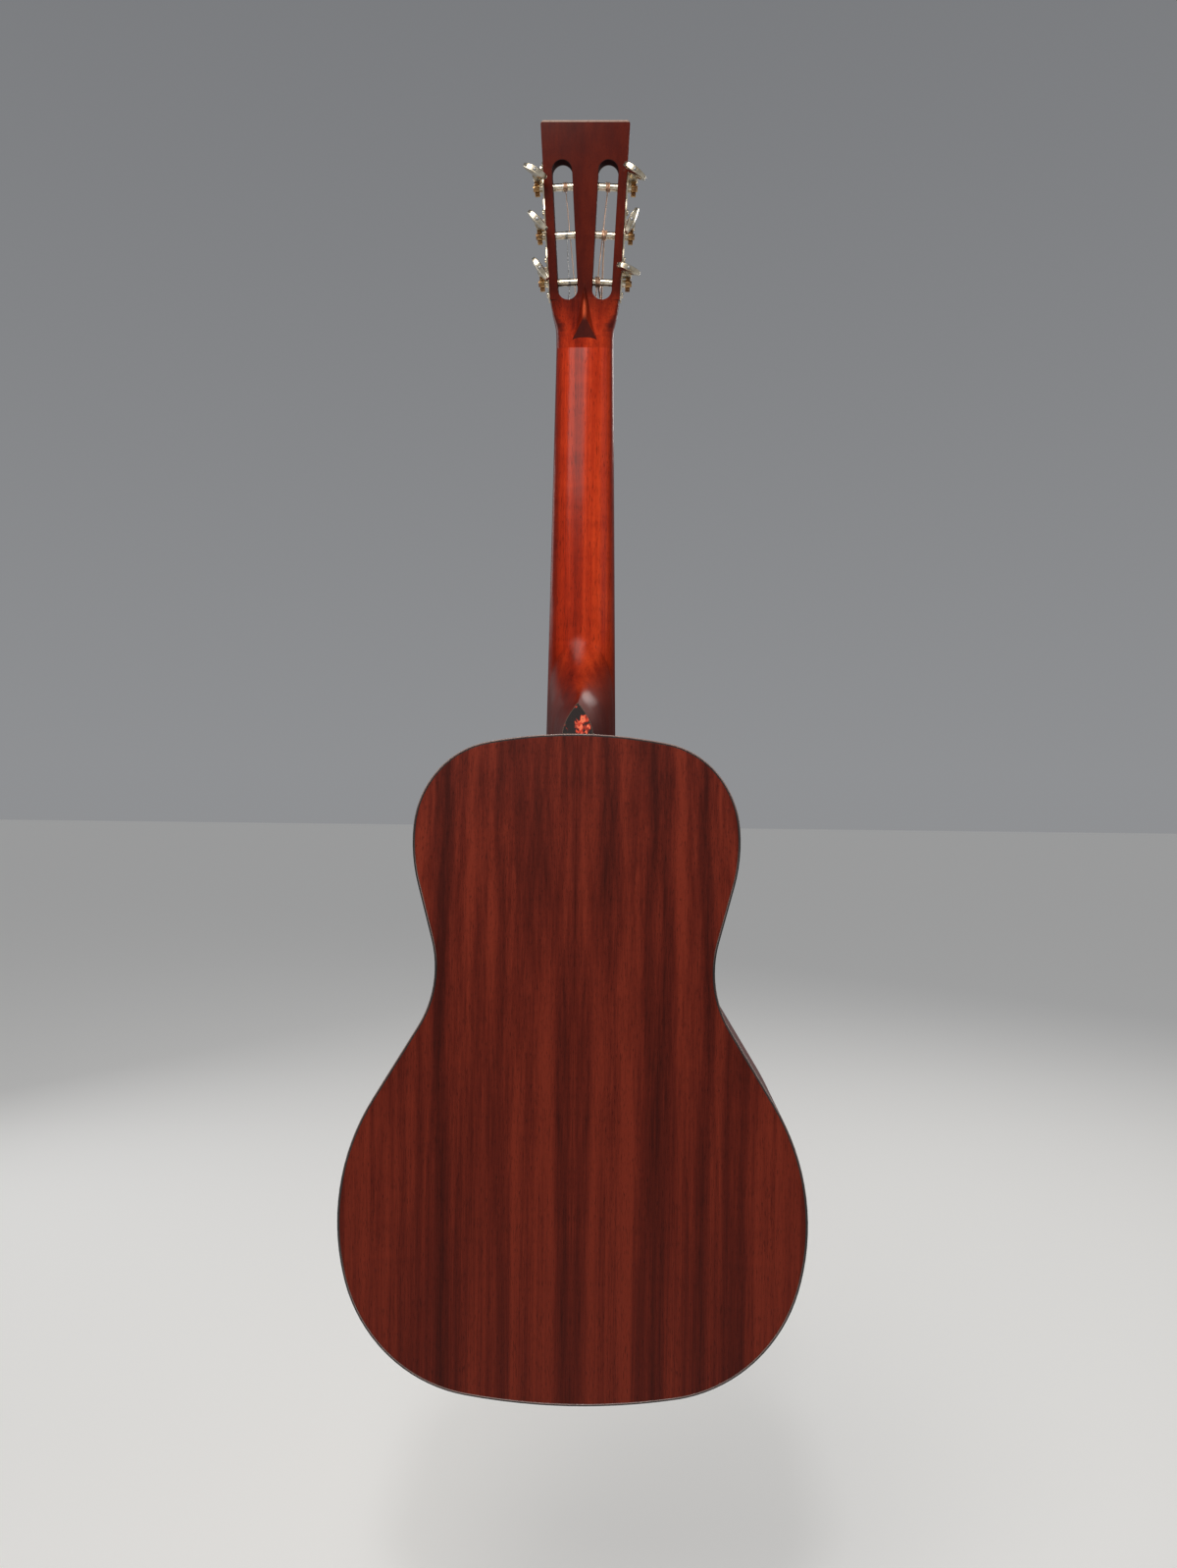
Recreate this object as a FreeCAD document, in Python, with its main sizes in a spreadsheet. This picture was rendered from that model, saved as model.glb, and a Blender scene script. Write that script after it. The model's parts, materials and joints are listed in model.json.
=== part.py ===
import FreeCAD, Part
import math
import os

# Steel-string acoustic guitar, small "size 0" body, neck joined at the twelfth
# fret, slotted head with open-gear tuning machines.  Millimetres.
# Frame: +Z along the neck toward the head, +Y out of the soundboard (strings
# side), -Y out of the back, +X the bass side.  y = 0 is the outer face of the
# soundboard, z = 0 the top edge of the body where the neck joins.

V = FreeCAD.Vector
doc = FreeCAD.newDocument("acoustic_guitar")
sheet = doc.addObject("Spreadsheet::Sheet", "Dims")
dims = {}


def dim(name, value):
    row = len(dims) + 1
    sheet.set("A%d" % row, name)
    sheet.set("B%d" % row, repr(value))
    sheet.setAlias("B%d" % row, name)
    dims[name] = float(value)


for name, value in [
        ("body_length", 486), ("depth_neck_end", 86), ("depth_tail_end", 108),
        ("back_dome_radius", 4572), ("soundboard_thick", 2.8), ("back_thick", 2.6),
        ("side_thick", 2.0), ("binding_wide", 1.6), ("binding_tall", 6.0),
        ("lining_wide", 5.0), ("lining_tall", 14.0),
        ("arc_a_radius", 348.93), ("arc_a_sweep", 10.933),
        ("arc_b_radius", 64.46), ("arc_b_sweep", 38.0),
        ("arc_c_radius", 70.97), ("arc_c_sweep", 36.361),
        ("arc_d_radius", 123.56), ("arc_d_sweep", 20.0),
        ("upper_line", 41.833),
        ("waist_radius", 80.27), ("waist_sweep", 46.656),
        ("lower_line", 62.2),
        ("arc_e_radius", 168.8), ("arc_e_sweep", 47.122),
        ("arc_f_radius", 112.22), ("arc_f_sweep", 31.562),
        ("arc_g_radius", 107.18), ("arc_g_sweep", 33.719),
        ("arc_tail_radius", 490.99),
        ("hole_radius", 49), ("hole_drop", 149), ("rosette_in", 53), ("rosette_out", 62),
        ("rosette_deep", 1.2),
        ("scale_length", 632.5), ("nut_width", 46), ("neck_width_body", 56),
        ("board_thick", 6.0), ("board_radius", 406.4), ("board_end", 96.5),
        ("fret_count", 18), ("fret_wide", 2.0), ("fret_tall", 1.05), ("tang_wide", 0.6),
        ("tang_deep", 1.6), ("dot_dia", 5.0), ("dot_deep", 1.5),
        ("nut_thick", 6.0), ("nut_tall", 8.4),
        ("shaft_deep_nut", 15.0), ("shaft_deep_body", 18.5),
        ("head_angle", 15.0), ("head_length", 152.5), ("head_thick", 17.0),
        ("veneer_thick", 1.8), ("head_half_low", 27.55), ("head_taper", 3.0),
        ("head_corner", 3.0),
        ("slot_wide", 15.5), ("slot_low", 27.0), ("slot_high", 126.0),
        ("slot_centre_across", 15.6), ("slot_centre_up", 76.5),
        ("dart_tip", 42.0), ("dart_apex", 15.0), ("dart_proud", 6.0),
        ("heel_cap_wide", 22.5), ("heel_cap_tall", 23.0), ("heel_cap_thick", 1.5),
        ("tenon_narrow", 16.0), ("tenon_wide", 24.0), ("tenon_long", 17.0),
        ("tenon_deep", 72.0),
        ("rod_wide", 6.0), ("rod_deep", 9.0), ("rod_long", 318.0),
        ("block_wide", 64.0), ("block_long", 44.0), ("tail_block_wide", 76.0),
        ("tail_block_long", 20.0),
        ("bridge_long", 152.0), ("bridge_wide", 25.4), ("bridge_thick", 8.5),
        ("bridge_wing", 3.4), ("saddle_long", 72.0), ("saddle_thick", 2.4),
        ("saddle_tall", 10.6), ("saddle_sunk", 5.0), ("saddle_offset", 318.75),
        ("saddle_slant", 2.0), ("pin_row", 329.4), ("pin_hole_radius", 2.6),
        ("pin_head_radius", 3.9), ("pin_long", 24.0),
        ("nut_spread", 38.0), ("saddle_spread", 54.0),
        ("end_pin_head", 7.0), ("end_pin_shank", 4.6), ("end_pin_out", 13.0),
        ("end_pin_in", 22.0),
        ("plate_long", 101.0), ("plate_wide", 15.6), ("plate_thick", 1.2),
        ("roller_depth", 9.4), ("roller_first", 40.0), ("roller_pitch", 34.0),
        ("roller_radius", 2.8), ("journal_radius", 3.0), ("bearing_gap", 0.06),
        ("gear_teeth", 14), ("gear_pitch_radius", 5.3), ("gear_tip_radius", 5.8),
        ("gear_root_radius", 4.5), ("gear_wide", 3.6), ("gear_bore", 1.6),
        ("gear_out", 5.6), ("worm_offset", 7.7), ("worm_core", 1.6), ("worm_tip", 2.9),
        ("worm_turns", 4), ("worm_shaft", 1.5),
        ("button_wide", 19.4), ("button_long", 13.0), ("button_thick", 6.2), ("button_crown", 5.6),
        ("button_gap", 4.0), ("guard_thick", 0.8)]:
    dim(name, value)
doc.recompute()
D = dims
E = "Dims."

nodes = []


def label(obj, name):
    obj.Label = name
    nodes.append(obj)
    return obj


def feature(name, shape, placement=None):
    """A sub-part whose shape comes from Part's own functions."""
    obj = doc.addObject("Part::Feature", name)
    obj.Shape = shape
    if placement is not None:
        obj.Placement = placement
    return label(obj, name)


# ---------------------------------------------------------------- sketch helpers
def new_body(name):
    return doc.addObject("PartDesign::Body", name)


def origin_plane(body, role):
    for f in body.Origin.OriginFeatures:
        if f.Role == role:
            return f


def new_sketch(body, name, lift=0.0, role="XY_Plane"):
    sk = body.newObject("Sketcher::SketchObject", name)
    sk.AttachmentSupport = [(origin_plane(body, role), "")]
    sk.MapMode = "FlatFace"
    if lift:
        sk.AttachmentOffset = FreeCAD.Placement(V(0, 0, lift), FreeCAD.Rotation())
    return sk


def add_loop(sk, pts):
    """Closed straight-sided loop through pts."""
    import Sketcher
    first = None
    n = len(pts)
    ids = []
    for i in range(n):
        a, b = pts[i], pts[(i + 1) % n]
        ids.append(sk.addGeometry(Part.LineSegment(V(a[0], a[1], 0), V(b[0], b[1], 0)), False))
    for i in range(n):
        sk.addConstraint(Sketcher.Constraint("Coincident", ids[i], 2, ids[(i + 1) % n], 1))
    return ids


def add_rect(sk, width, height, bind_width=None, bind_height=None, cx=0.0, cy=0.0):
    """Rectangle centred on (cx, cy) with its width and height bound to the sheet."""
    import Sketcher
    a, b = width / 2.0, height / 2.0
    ids = add_loop(sk, [(cx - a, cy - b), (cx + a, cy - b), (cx + a, cy + b), (cx - a, cy + b)])
    for i in (0, 2):
        sk.addConstraint(Sketcher.Constraint("Horizontal", ids[i]))
    for i in (1, 3):
        sk.addConstraint(Sketcher.Constraint("Vertical", ids[i]))
    k = sk.addConstraint(Sketcher.Constraint("DistanceX", ids[0], 1, ids[0], 2, width))
    sk.renameConstraint(k, "wide")
    k2 = sk.addConstraint(Sketcher.Constraint("DistanceY", ids[1], 1, ids[1], 2, height))
    sk.renameConstraint(k2, "tall")
    k3 = sk.addConstraint(Sketcher.Constraint("DistanceX", -1, 1, ids[0], 1, cx - a))
    k4 = sk.addConstraint(Sketcher.Constraint("DistanceY", -1, 1, ids[0], 1, cy - b))
    sk.renameConstraint(k3, "left")
    sk.renameConstraint(k4, "foot")
    if bind_width:
        sk.setExpression("Constraints.wide", bind_width)
        if cx == 0.0:
            sk.setExpression("Constraints.left", "-(" + bind_width + ") / 2")
    if bind_height:
        sk.setExpression("Constraints.tall", bind_height)
        if cy == 0.0:
            sk.setExpression("Constraints.foot", "-(" + bind_height + ") / 2")
    return ids


def add_circle(sk, radius, bind=None, cx=0.0, cy=0.0, tag="radius"):
    import Sketcher
    c = sk.addGeometry(Part.Circle(V(cx, cy, 0), V(0, 0, 1), radius), False)
    if cx == 0.0 and cy == 0.0:
        sk.addConstraint(Sketcher.Constraint("Coincident", c, 3, -1, 1))
    k = sk.addConstraint(Sketcher.Constraint("Radius", c, radius))
    sk.renameConstraint(k, tag)
    if bind:
        sk.setExpression("Constraints." + tag, bind)
    return c


def pad(body, sk, name, length, bind=None, reverse=False, midplane=False):
    p = body.newObject("PartDesign::Pad", name)
    p.Profile = sk
    p.Length = length
    p.Reversed = reverse
    p.Midplane = midplane
    if bind:
        p.setExpression("Length", bind)
    sk.Visibility = False
    return p


def pocket(body, sk, name, length, bind=None, reverse=False):
    """A pocket that must take material away."""
    doc.recompute()
    before = body.Shape.Volume
    p = body.newObject("PartDesign::Pocket", name)
    p.Profile = sk
    p.Length = length
    p.Reversed = reverse
    if bind:
        p.setExpression("Length", bind)
    sk.Visibility = False
    doc.recompute()
    if not body.Shape.Volume < before - 1e-6:
        raise RuntimeError("pocket %s cuts nothing" % name)
    return p


# ---------------------------------------------------------------- frames
# Plane of the soundboard seen from the front: local (a, b, c) lies at (a, -c, b).
FACE = FreeCAD.Placement(V(0, 0, 0), FreeCAD.Rotation(V(1, 0, 0), 90))
NUT_Z = D["scale_length"] / 2.0
HEAD_Z = NUT_Z + D["nut_thick"]
HEAD = FreeCAD.Placement(V(0, 0, HEAD_Z), FreeCAD.Rotation(V(1, 0, 0), D["head_angle"]))
BACK_W = -(D["head_thick"] + D["veneer_thick"])


def put(shape, placement):
    out = shape.copy()
    out.Placement = placement.multiply(shape.Placement)
    return out


def head_half(v):
    return D["head_half_low"] + (v - 28.0) * math.tan(math.radians(D["head_taper"]))


def cyl(r, length, at, direction):
    return Part.makeCylinder(r, length, at, direction)


def box(x0, x1, y0, y1, z0, z1):
    return Part.makeBox(x1 - x0, y1 - y0, z1 - z0, V(x0, y0, z0))


def prism_y(pts, y0, y1):
    """Polygon in X-Z run along Y."""
    w = Part.makePolygon([V(p[0], y0, p[1]) for p in pts + pts[:1]])
    return Part.Face(w).extrude(V(0, y1 - y0, 0))


# ---------------------------------------------------------------- body outline
def outline_half(inset):
    """Right half of the body outline, offset inward, as Part edges."""
    segs = [("arc", 1, "arc_a"), ("arc", 1, "arc_b"), ("arc", 1, "arc_c"), ("arc", 1, "arc_d"),
            ("line", "upper_line"), ("arc", -1, "waist"), ("line", "lower_line"),
            ("arc", 1, "arc_e"), ("arc", 1, "arc_f"), ("arc", 1, "arc_g"), ("tail",)]
    x = z = h = 0.0
    edges = []
    last = V(0, 0, -inset)

    def inner(px, pz, ph):
        return V(px + inset * math.sin(ph), 0, pz - inset * math.cos(ph))

    for s in segs:
        if s[0] == "arc":
            sign = s[1]
            r = D[s[2] + "_radius"]
            t = math.radians(D[s[2] + "_sweep"])
            cx, cz = x + math.sin(h) * sign * r, z - math.cos(h) * sign * r

            def at(a):
                return cx - math.sin(a) * sign * r, cz + math.cos(a) * sign * r

            hm, h1 = h - sign * t / 2.0, h - sign * t
            mx, mz = at(hm)
            x1, z1 = at(h1)
            mid = inner(mx, mz, hm)
            end = inner(x1, z1, h1)
            edges.append(Part.Arc(last, mid, end).toShape())
            x, z, h = x1, z1, h1
        elif s[0] == "line":
            run = D[s[1]]
            x1, z1 = x + math.cos(h) * run, z + math.sin(h) * run
            end = inner(x1, z1, h)
            edges.append(Part.LineSegment(last, end).toShape())
            x, z = x1, z1
        else:
            r = D["arc_tail_radius"]
            a = math.asin(min(1.0, (x) / r))
            foot = -D["body_length"]
            end = V(0, 0, foot + inset)
            mx = (r - inset) * math.sin(a / 2.0) * last.x / ((r - inset) * math.sin(a))
            mid = V(mx, 0, (foot + r) - (r - inset) * math.cos(a / 2.0))
            edges.append(Part.Arc(last, mid, end).toShape())
        last = end
    return edges


def outline_solid(inset, y0=-150.0, y1=10.0):
    right = outline_half(inset)
    flip = FreeCAD.Matrix()
    flip.A11 = -1.0
    left = [e.transformGeometry(flip) for e in right]
    wire = Part.Wire(Part.__sortEdges__(right + left))
    face = Part.Face(wire)
    face.translate(V(0, y0, 0))
    return face.extrude(V(0, y1 - y0, 0))


# dome of the back: a ball whose skin passes the heel line and the tail line
half_chord = math.hypot(D["body_length"], D["depth_tail_end"] - D["depth_neck_end"]) / 2.0
ca = (D["body_length"]) / (2.0 * half_chord)
sa = (D["depth_tail_end"] - D["depth_neck_end"]) / (2.0 * half_chord)
rise = math.sqrt(D["back_dome_radius"] ** 2 - half_chord ** 2)
DOME = V(0, -(D["depth_neck_end"] + D["depth_tail_end"]) / 2.0 + rise * ca,
         -D["body_length"] / 2.0 - rise * sa)


def dome(inset):
    """Everything on the soundboard side of the dome, inset from its skin."""
    ball = Part.makeSphere(D["back_dome_radius"] - inset, DOME, V(0, 0, 1), -90, 90, 360)
    return ball


def dome_y(z, inset=0.0, x=0.0):
    r = D["back_dome_radius"] - inset
    return DOME.y - math.sqrt(r * r - (z - DOME.z) ** 2 - x * x)


O0 = outline_solid(0.0)
OB = outline_solid(D["binding_wide"])
OS = outline_solid(D["side_thick"])
OL1 = outline_solid(D["side_thick"] + 0.55 * D["lining_wide"])
OL = outline_solid(D["side_thick"] + D["lining_wide"])
OI = outline_solid(D["side_thick"] + D["lining_wide"] + 0.6)
B0 = dome(0.0)
BT = dome(D["back_thick"])
BB = dome(D["binding_tall"])

TOP = D["soundboard_thick"]
front_keep = box(-250, 250, -200, 0, -600, 100)
under_top = box(-250, 250, -200, -TOP, -600, 100)
right_half = box(0, 300, -300, 50, -600, 100)
left_half = box(-300, 0, -300, 50, -600, 100)


def tenon(y0, y1, slack=0.0):
    a, b = D["tenon_narrow"] / 2.0 + slack, D["tenon_wide"] / 2.0 + slack
    return prism_y([(-a, 1.0), (a, 1.0), (a, 0.0), (b, -D["tenon_long"] - slack),
                    (-b, -D["tenon_long"] - slack), (-a, 0.0)], y0, y1)


dovetail = tenon(-D["tenon_deep"], 0.0)
dovetail_cut = tenon(-D["tenon_deep"], 1.0)
pin_hole_z = -D["pin_row"]

string_x = [(-0.5 + i / 5.0) for i in range(6)]      # string 1 (treble) to 6 (bass)
pin_holes = [cyl(D["pin_hole_radius"], 60, V(D["saddle_spread"] * (1.02) * k, -30, pin_hole_z), V(0, 1, 0))
             for k in string_x]

# soundboard
hole = cyl(D["hole_radius"], 40, V(0, -20, -D["hole_drop"]), V(0, 1, 0))
ring = cyl(D["rosette_out"], D["rosette_deep"] + 5, V(0, -D["rosette_deep"], -D["hole_drop"]), V(0, 1, 0)).cut(
    cyl(D["rosette_in"], 40, V(0, -20, -D["hole_drop"]), V(0, 1, 0)))
top = OB.common(box(-250, 250, -TOP, 0, -600, 100)).cut(hole).cut(ring).cut(dovetail_cut)
for p in pin_holes:
    top = top.cut(p)
feature("soundboard", top)
feature("rosette", ring.common(front_keep))

# back, in two book-matched halves
back = OB.common(B0).cut(BT)
back_keep = box(-250, 250, -200, -40, -600, 100)
back = back.common(back_keep)
feature("back_bass_half", back.common(right_half))
feature("back_treble_half", back.common(left_half))

# bindings
rim = O0.cut(OB)
feature("top_binding", rim.common(box(-250, 250, -D["binding_tall"], 0, -600, 100)).cut(dovetail_cut))
feature("back_binding", rim.common(B0).cut(BB).common(back_keep))

# sides
outer_part = rim.common(BB).common(box(-250, 250, -200, -D["binding_tall"], -600, 100))
inner_part = OB.cut(OS).common(BT).common(under_top)
sides = outer_part.fuse(inner_part).removeSplitter()
end_pin_y = -0.5 * D["depth_tail_end"]
end_pin_bore = cyl(D["end_pin_shank"], 60, V(0, end_pin_y, -D["body_length"] - 20), V(0, 0, 1))
sides = sides.cut(dovetail_cut).cut(end_pin_bore)
feature("side_bass", sides.common(right_half))
feature("side_treble", sides.common(left_half))

# blocks
inside = OS.common(BT).common(under_top)
neck_block = inside.common(box(-D["block_wide"] / 2, D["block_wide"] / 2, -200, 0, -D["block_long"], 10))
rod_bore = cyl(5.2, 80, V(0, -0.5 * D["rod_deep"] - 2.0, -90), V(0, 0, 1))
feature("neck_block", neck_block.cut(dovetail_cut).cut(rod_bore))
tail_block = inside.common(box(-D["tail_block_wide"] / 2, D["tail_block_wide"] / 2, -200, 0, -600,
                               -D["body_length"] + D["tail_block_long"]))
feature("tail_block", tail_block.cut(end_pin_bore))

# kerfed linings: front and back rim, bass and treble
off_blocks = [box(-D["block_wide"] / 2, D["block_wide"] / 2, -300, 10, -100, 20),
              box(-D["tail_block_wide"] / 2, D["tail_block_wide"] / 2, -300, 10, -600, -400)]
lt = D["lining_tall"]
front_lin = OS.cut(OL1).common(box(-250, 250, -TOP - lt, -TOP, -600, 100)).fuse(
    OL1.cut(OL).common(box(-250, 250, -TOP - 0.55 * lt, -TOP, -600, 100)))
B_deep = dome(D["back_thick"] + lt)
B_half = dome(D["back_thick"] + 0.55 * lt)
back_lin = OS.cut(OL1).common(BT).cut(B_deep).common(back_keep).fuse(
    OL1.cut(OL).common(BT).cut(B_half).common(back_keep))
strips = []
for lin in (front_lin, back_lin):
    for b in off_blocks:
        lin = lin.cut(b)
    lin = lin.removeSplitter()
    for half in (right_half, left_half):
        strips += lin.common(half).Solids
feature("kerfed_linings", Part.makeCompound(strips))


# ---------------------------------------------------------------- braces
def top_brace(cx, cz, angle, length, wide, tall, end_tall, foot=0.0):
    """A soundboard brace: tapered bar, angle from +X in the X-Z plane."""
    a = length / 2.0
    pts = [V(-a, -TOP, 0), V(a, -TOP, 0), V(a, -TOP - end_tall, 0), V(0.45 * a, -TOP - tall, 0),
           V(-0.45 * a, -TOP - tall, 0), V(-a, -TOP - end_tall, 0)]
    f = Part.Face(Part.makePolygon(pts + pts[:1]))
    bar = f.extrude(V(0, 0, wide))
    bar.translate(V(0, 0, -wide / 2.0))
    bar.rotate(V(0, 0, 0), V(0, 1, 0), -angle)
    bar.translate(V(cx, 0, cz))
    return bar


cross_z = -(D["hole_drop"] + D["hole_radius"] + 26.0)
xa = top_brace(0, cross_z, 41, 620, 8, 15, 4).common(OI)
xb = top_brace(0, cross_z, -41, 620, 8, 15, 4).common(OI)
lower_cut = box(-60, 60, -60, -TOP - 7.5, cross_z - 60, cross_z + 60)
upper_cut = box(-60, 60, -TOP - 7.5, 20, cross_z - 60, cross_z + 60)
cross_a = xa.cut(xb.common(lower_cut))
cross_b = xb.cut(xa.common(upper_cut))
feature("x_braces", Part.makeCompound(cross_a.Solids + cross_b.Solids))
tone = []
for (cx, cz, ang, length) in [(22, -372, 26, 190), (34, -418, 26, 150)]:
    bar = top_brace(cx, cz, -ang, length, 6.5, 11, 3.5).common(OI).cut(xa).cut(xb)
    bar = bar.cut(box(-65, 65, -40, 10, -344.0, -307.0))
    tone.append(max(bar.Solids, key=lambda q: q.Volume))
feature("tone_bars", Part.makeCompound(tone))
fingers = []
for sgn in (1, -1):
    for (cx, cz, ang, length) in [(92, -246, 62, 48), (108, -292, 66, 58)]:
        bar = top_brace(sgn * cx, cz, sgn * ang, length, 6, 7, 2.5).common(OI).cut(xa).cut(xb)
        fingers.append(max(bar.Solids, key=lambda q: q.Volume))
feature("finger_braces", Part.makeCompound(fingers))
feature("transverse_brace", top_brace(0, -86, 0, 260, 12, 16, 5).common(OI))

plate_body = new_body("bridge_plate")
sk = new_sketch(plate_body, "bridge_plate_outline", TOP)
add_rect(sk, 128, 36, None, None, 0.0, -D["pin_row"] + 4.0)
pad(plate_body, sk, "bridge_plate_pad", 2.4)
sk = new_sketch(plate_body, "bridge_plate_pin_holes", TOP - 1.0)
for i, k in enumerate(string_x):
    add_circle(sk, D["pin_hole_radius"], E + "pin_hole_radius", D["saddle_spread"] * 1.02 * k, -D["pin_row"],
               "pin%d" % i)
pocket(plate_body, sk, "bridge_plate_pins", 6.0, None, True)
plate_body.Placement = FACE
label(plate_body, "bridge_plate")

# back braces and the strip over the back seam
bars = []
BI = dome(D["back_thick"])
for (z0, wide, tall) in [(-62, 9, 15), (-150, 9, 15), (-262, 16, 11), (-372, 16, 11)]:
    slab = box(-250, 250, -200, -30, z0 - wide / 2.0, z0 + wide / 2.0)
    bars += slab.common(OI).common(BI).cut(dome(D["back_thick"] + tall)).Solids
feature("back_braces", Part.makeCompound(bars))
strip = box(-7, 7, -200, -30, -D["body_length"] + D["tail_block_long"], -D["block_long"]).common(BI).cut(
    dome(D["back_thick"] + 2.2))
for b in bars:
    strip = strip.cut(b)
feature("back_seam_strips", Part.makeCompound(strip.Solids))


# ---------------------------------------------------------------- neck
def shaft_half(z):
    f = (NUT_Z - z) / NUT_Z
    return 0.5 * (D["nut_width"] + (D["neck_width_body"] - D["nut_width"]) * f)


def back_section(half, deep, power, skirt=1.5):
    """Closed section in local X-Y: flat front at y = 0, rounded back at y = -deep."""
    pts = []
    n = 16
    for i in range(n + 1):
        a = math.pi * i / n
        c, s = math.cos(a), math.sin(a)
        px = half * math.copysign(abs(c) ** (2.0 / power), c)
        py = -skirt - (deep - skirt) * abs(s) ** (2.0 / power)
        pts.append(V(px, py, 0))
    curve = Part.BSplineCurve()
    curve.interpolate(pts)
    return Part.Wire([Part.LineSegment(V(-half, 0, 0), V(half, 0, 0)).toShape(),
                      Part.LineSegment(V(half, 0, 0), pts[0]).toShape(), curve.toShape(),
                      Part.LineSegment(pts[-1], V(-half, 0, 0)).toShape()])


def at_z(wire, z):
    w = wire.copy()
    w.translate(V(0, 0, z))
    return w


stations = [-1.5, 60.0, 180.0, 300.0]
shaft_wires = []
for z in stations:
    f = (NUT_Z - z) / NUT_Z
    deep = D["shaft_deep_nut"] + (D["shaft_deep_body"] - D["shaft_deep_nut"]) * f
    shaft_wires.append(at_z(back_section(shaft_half(z), deep, 2.15), z))
shaft = Part.makeLoft(shaft_wires, True, False)

# blend from the shaft into the head
vt = D["veneer_thick"]
blend = [shaft_wires[-1]]
blend_rows = [(-8.0, 23.1, 15.6, 2.3), (0.0, 23.1, 16.2, 2.7), (4.0, 23.2, 16.6, 3.1), (7.0, 23.6, 16.8, 3.6),
              (10.0, 24.3, 17.0, 4.3), (13.0, 25.1, 17.0, 5.2), (16.0, 25.8, 17.0, 6.4), (20.0, 26.5, 17.0, 8.2),
              (24.0, 27.1, 17.0, 10.5), (28.0, D["head_half_low"], 17.0, 14.0)]
for (v, half, deep, power) in blend_rows:
    w = back_section(half, deep, power, 1.0)
    w.Placement = HEAD.multiply(FreeCAD.Placement(V(0, -vt, v), FreeCAD.Rotation()))
    blend.append(w)
blend_solid = Part.makeLoft(blend, True, True)
front_fill_cut = box(-60, 60, 0, 60, 200, NUT_Z + 40)

hl = D["head_length"]
cr = D["head_corner"]


def head_outline(low, v_low_half):
    """Head outline in its own plane, as a face at local y = 0 (X across, Z up)."""
    t3 = math.tan(math.radians(D["head_taper"]))
    a = head_half(hl)
    right = [V(head_half(low), 0, low), V(head_half(hl - cr), 0, hl - cr)]
    k = cr * (1 - math.sqrt(0.5))
    arc_r = Part.Arc(right[1], V(a - k, 0, hl - k), V(a - cr, 0, hl)).toShape()
    edges = [Part.LineSegment(V(-head_half(low), 0, low), right[0]).toShape(),
             Part.LineSegment(right[0], right[1]).toShape(), arc_r,
             Part.LineSegment(V(a - cr, 0, hl), V(-a + cr, 0, hl)).toShape(),
             Part.Arc(V(-a + cr, 0, hl), V(-a + k, 0, hl - k), V(-head_half(hl - cr), 0, hl - cr)).toShape(),
             Part.LineSegment(V(-head_half(hl - cr), 0, hl - cr), V(-head_half(low), 0, low)).toShape()]
    return Part.Face(Part.Wire(edges))


slab_face = head_outline(27.0, None)
slab_face.translate(V(0, -vt, 0))
slab = put(slab_face.extrude(V(0, -D["head_thick"], 0)), HEAD)

# diamond dart behind the nut
half_dart = 13.5
dart_pts = [V(0, BACK_W + 0.6, D["dart_tip"]), V(0, BACK_W - D["dart_proud"], D["dart_apex"]),
            V(-half_dart, BACK_W + 4.5, -9.0), V(half_dart, BACK_W + 4.5, -9.0)]


def tetra(p):
    faces = []
    for tri in ((0, 1, 2), (0, 3, 1), (1, 3, 2), (0, 2, 3)):
        q = [p[i] for i in tri]
        faces.append(Part.Face(Part.makePolygon(q + q[:1])))
    s = Part.Solid(Part.makeShell(faces))
    if s.Volume < 0:
        s.reverse()
    return s


dart = put(tetra(dart_pts), HEAD)


# heel
def arch(y, wide, tall, soft, foot=-3.0):
    """Arch in the plane at y, foot below z = 0; soft 1 is pointed, 2 is round."""
    right = []
    n = 12
    for i in range(n + 1):
        t = (2.0 - soft) * (i / float(n)) + (soft - 1.0) * math.sin(math.pi / 2.0 * i / float(n))
        right.append(V(wide / 2.0 * max(0.0, 1 - t ** (1.7 + 0.3 * (soft - 1.0))) ** (1.0 / soft), y, tall * t))
    c1 = Part.BSplineCurve()
    c1.interpolate(right)
    c2 = Part.BSplineCurve()
    c2.interpolate([V(-p.x, p.y, p.z) for p in reversed(right)])
    return Part.Wire([Part.LineSegment(V(-wide / 2.0, y, foot), V(wide / 2.0, y, foot)).toShape(),
                      Part.LineSegment(V(wide / 2.0, y, foot), right[0]).toShape(), c1.toShape(),
                      c2.toShape(),
                      Part.LineSegment(V(-wide / 2.0, y, 0), V(-wide / 2.0, y, foot)).toShape()])


cap_y = -D["depth_neck_end"]
cap_t = D["heel_cap_thick"]
heel_rows = [(-8.0, 54.5, 112.0, 2.0), (-13.0, 53.2, 93.0, 2.0), (-18.0, 51.2, 76.0, 1.95), (-24.0, 48.4, 62.0, 1.85),
             (-32.0, 44.2, 49.5, 1.7), (-42.0, 38.8, 39.5, 1.5), (-54.0, 33.6, 32.0, 1.3), (-68.0, 28.0, 26.6, 1.12),
             (cap_y + cap_t, D["heel_cap_wide"], D["heel_cap_tall"], 1.0)]
heel = Part.makeLoft([arch(*r) for r in heel_rows], True, False)
neck = shaft.fuse([blend_solid, slab, dart, heel]).removeSplitter()
neck = neck.cut(O0)
tenon_piece = tenon(-D["tenon_deep"], 0.0).common(box(-60, 60, -200, 0, -60, 0.9))
neck = neck.fuse(tenon_piece)
# seat of the nut and of the fretboard
neck = neck.cut(box(-80, 80, 0, 80, -200, HEAD_Z + 0.0))
neck = neck.cut(put(box(-80, 80, -vt, 40, -3.0, 60.0), HEAD).common(box(-90, 90, -90, 90, HEAD_Z, 500)))


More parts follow.
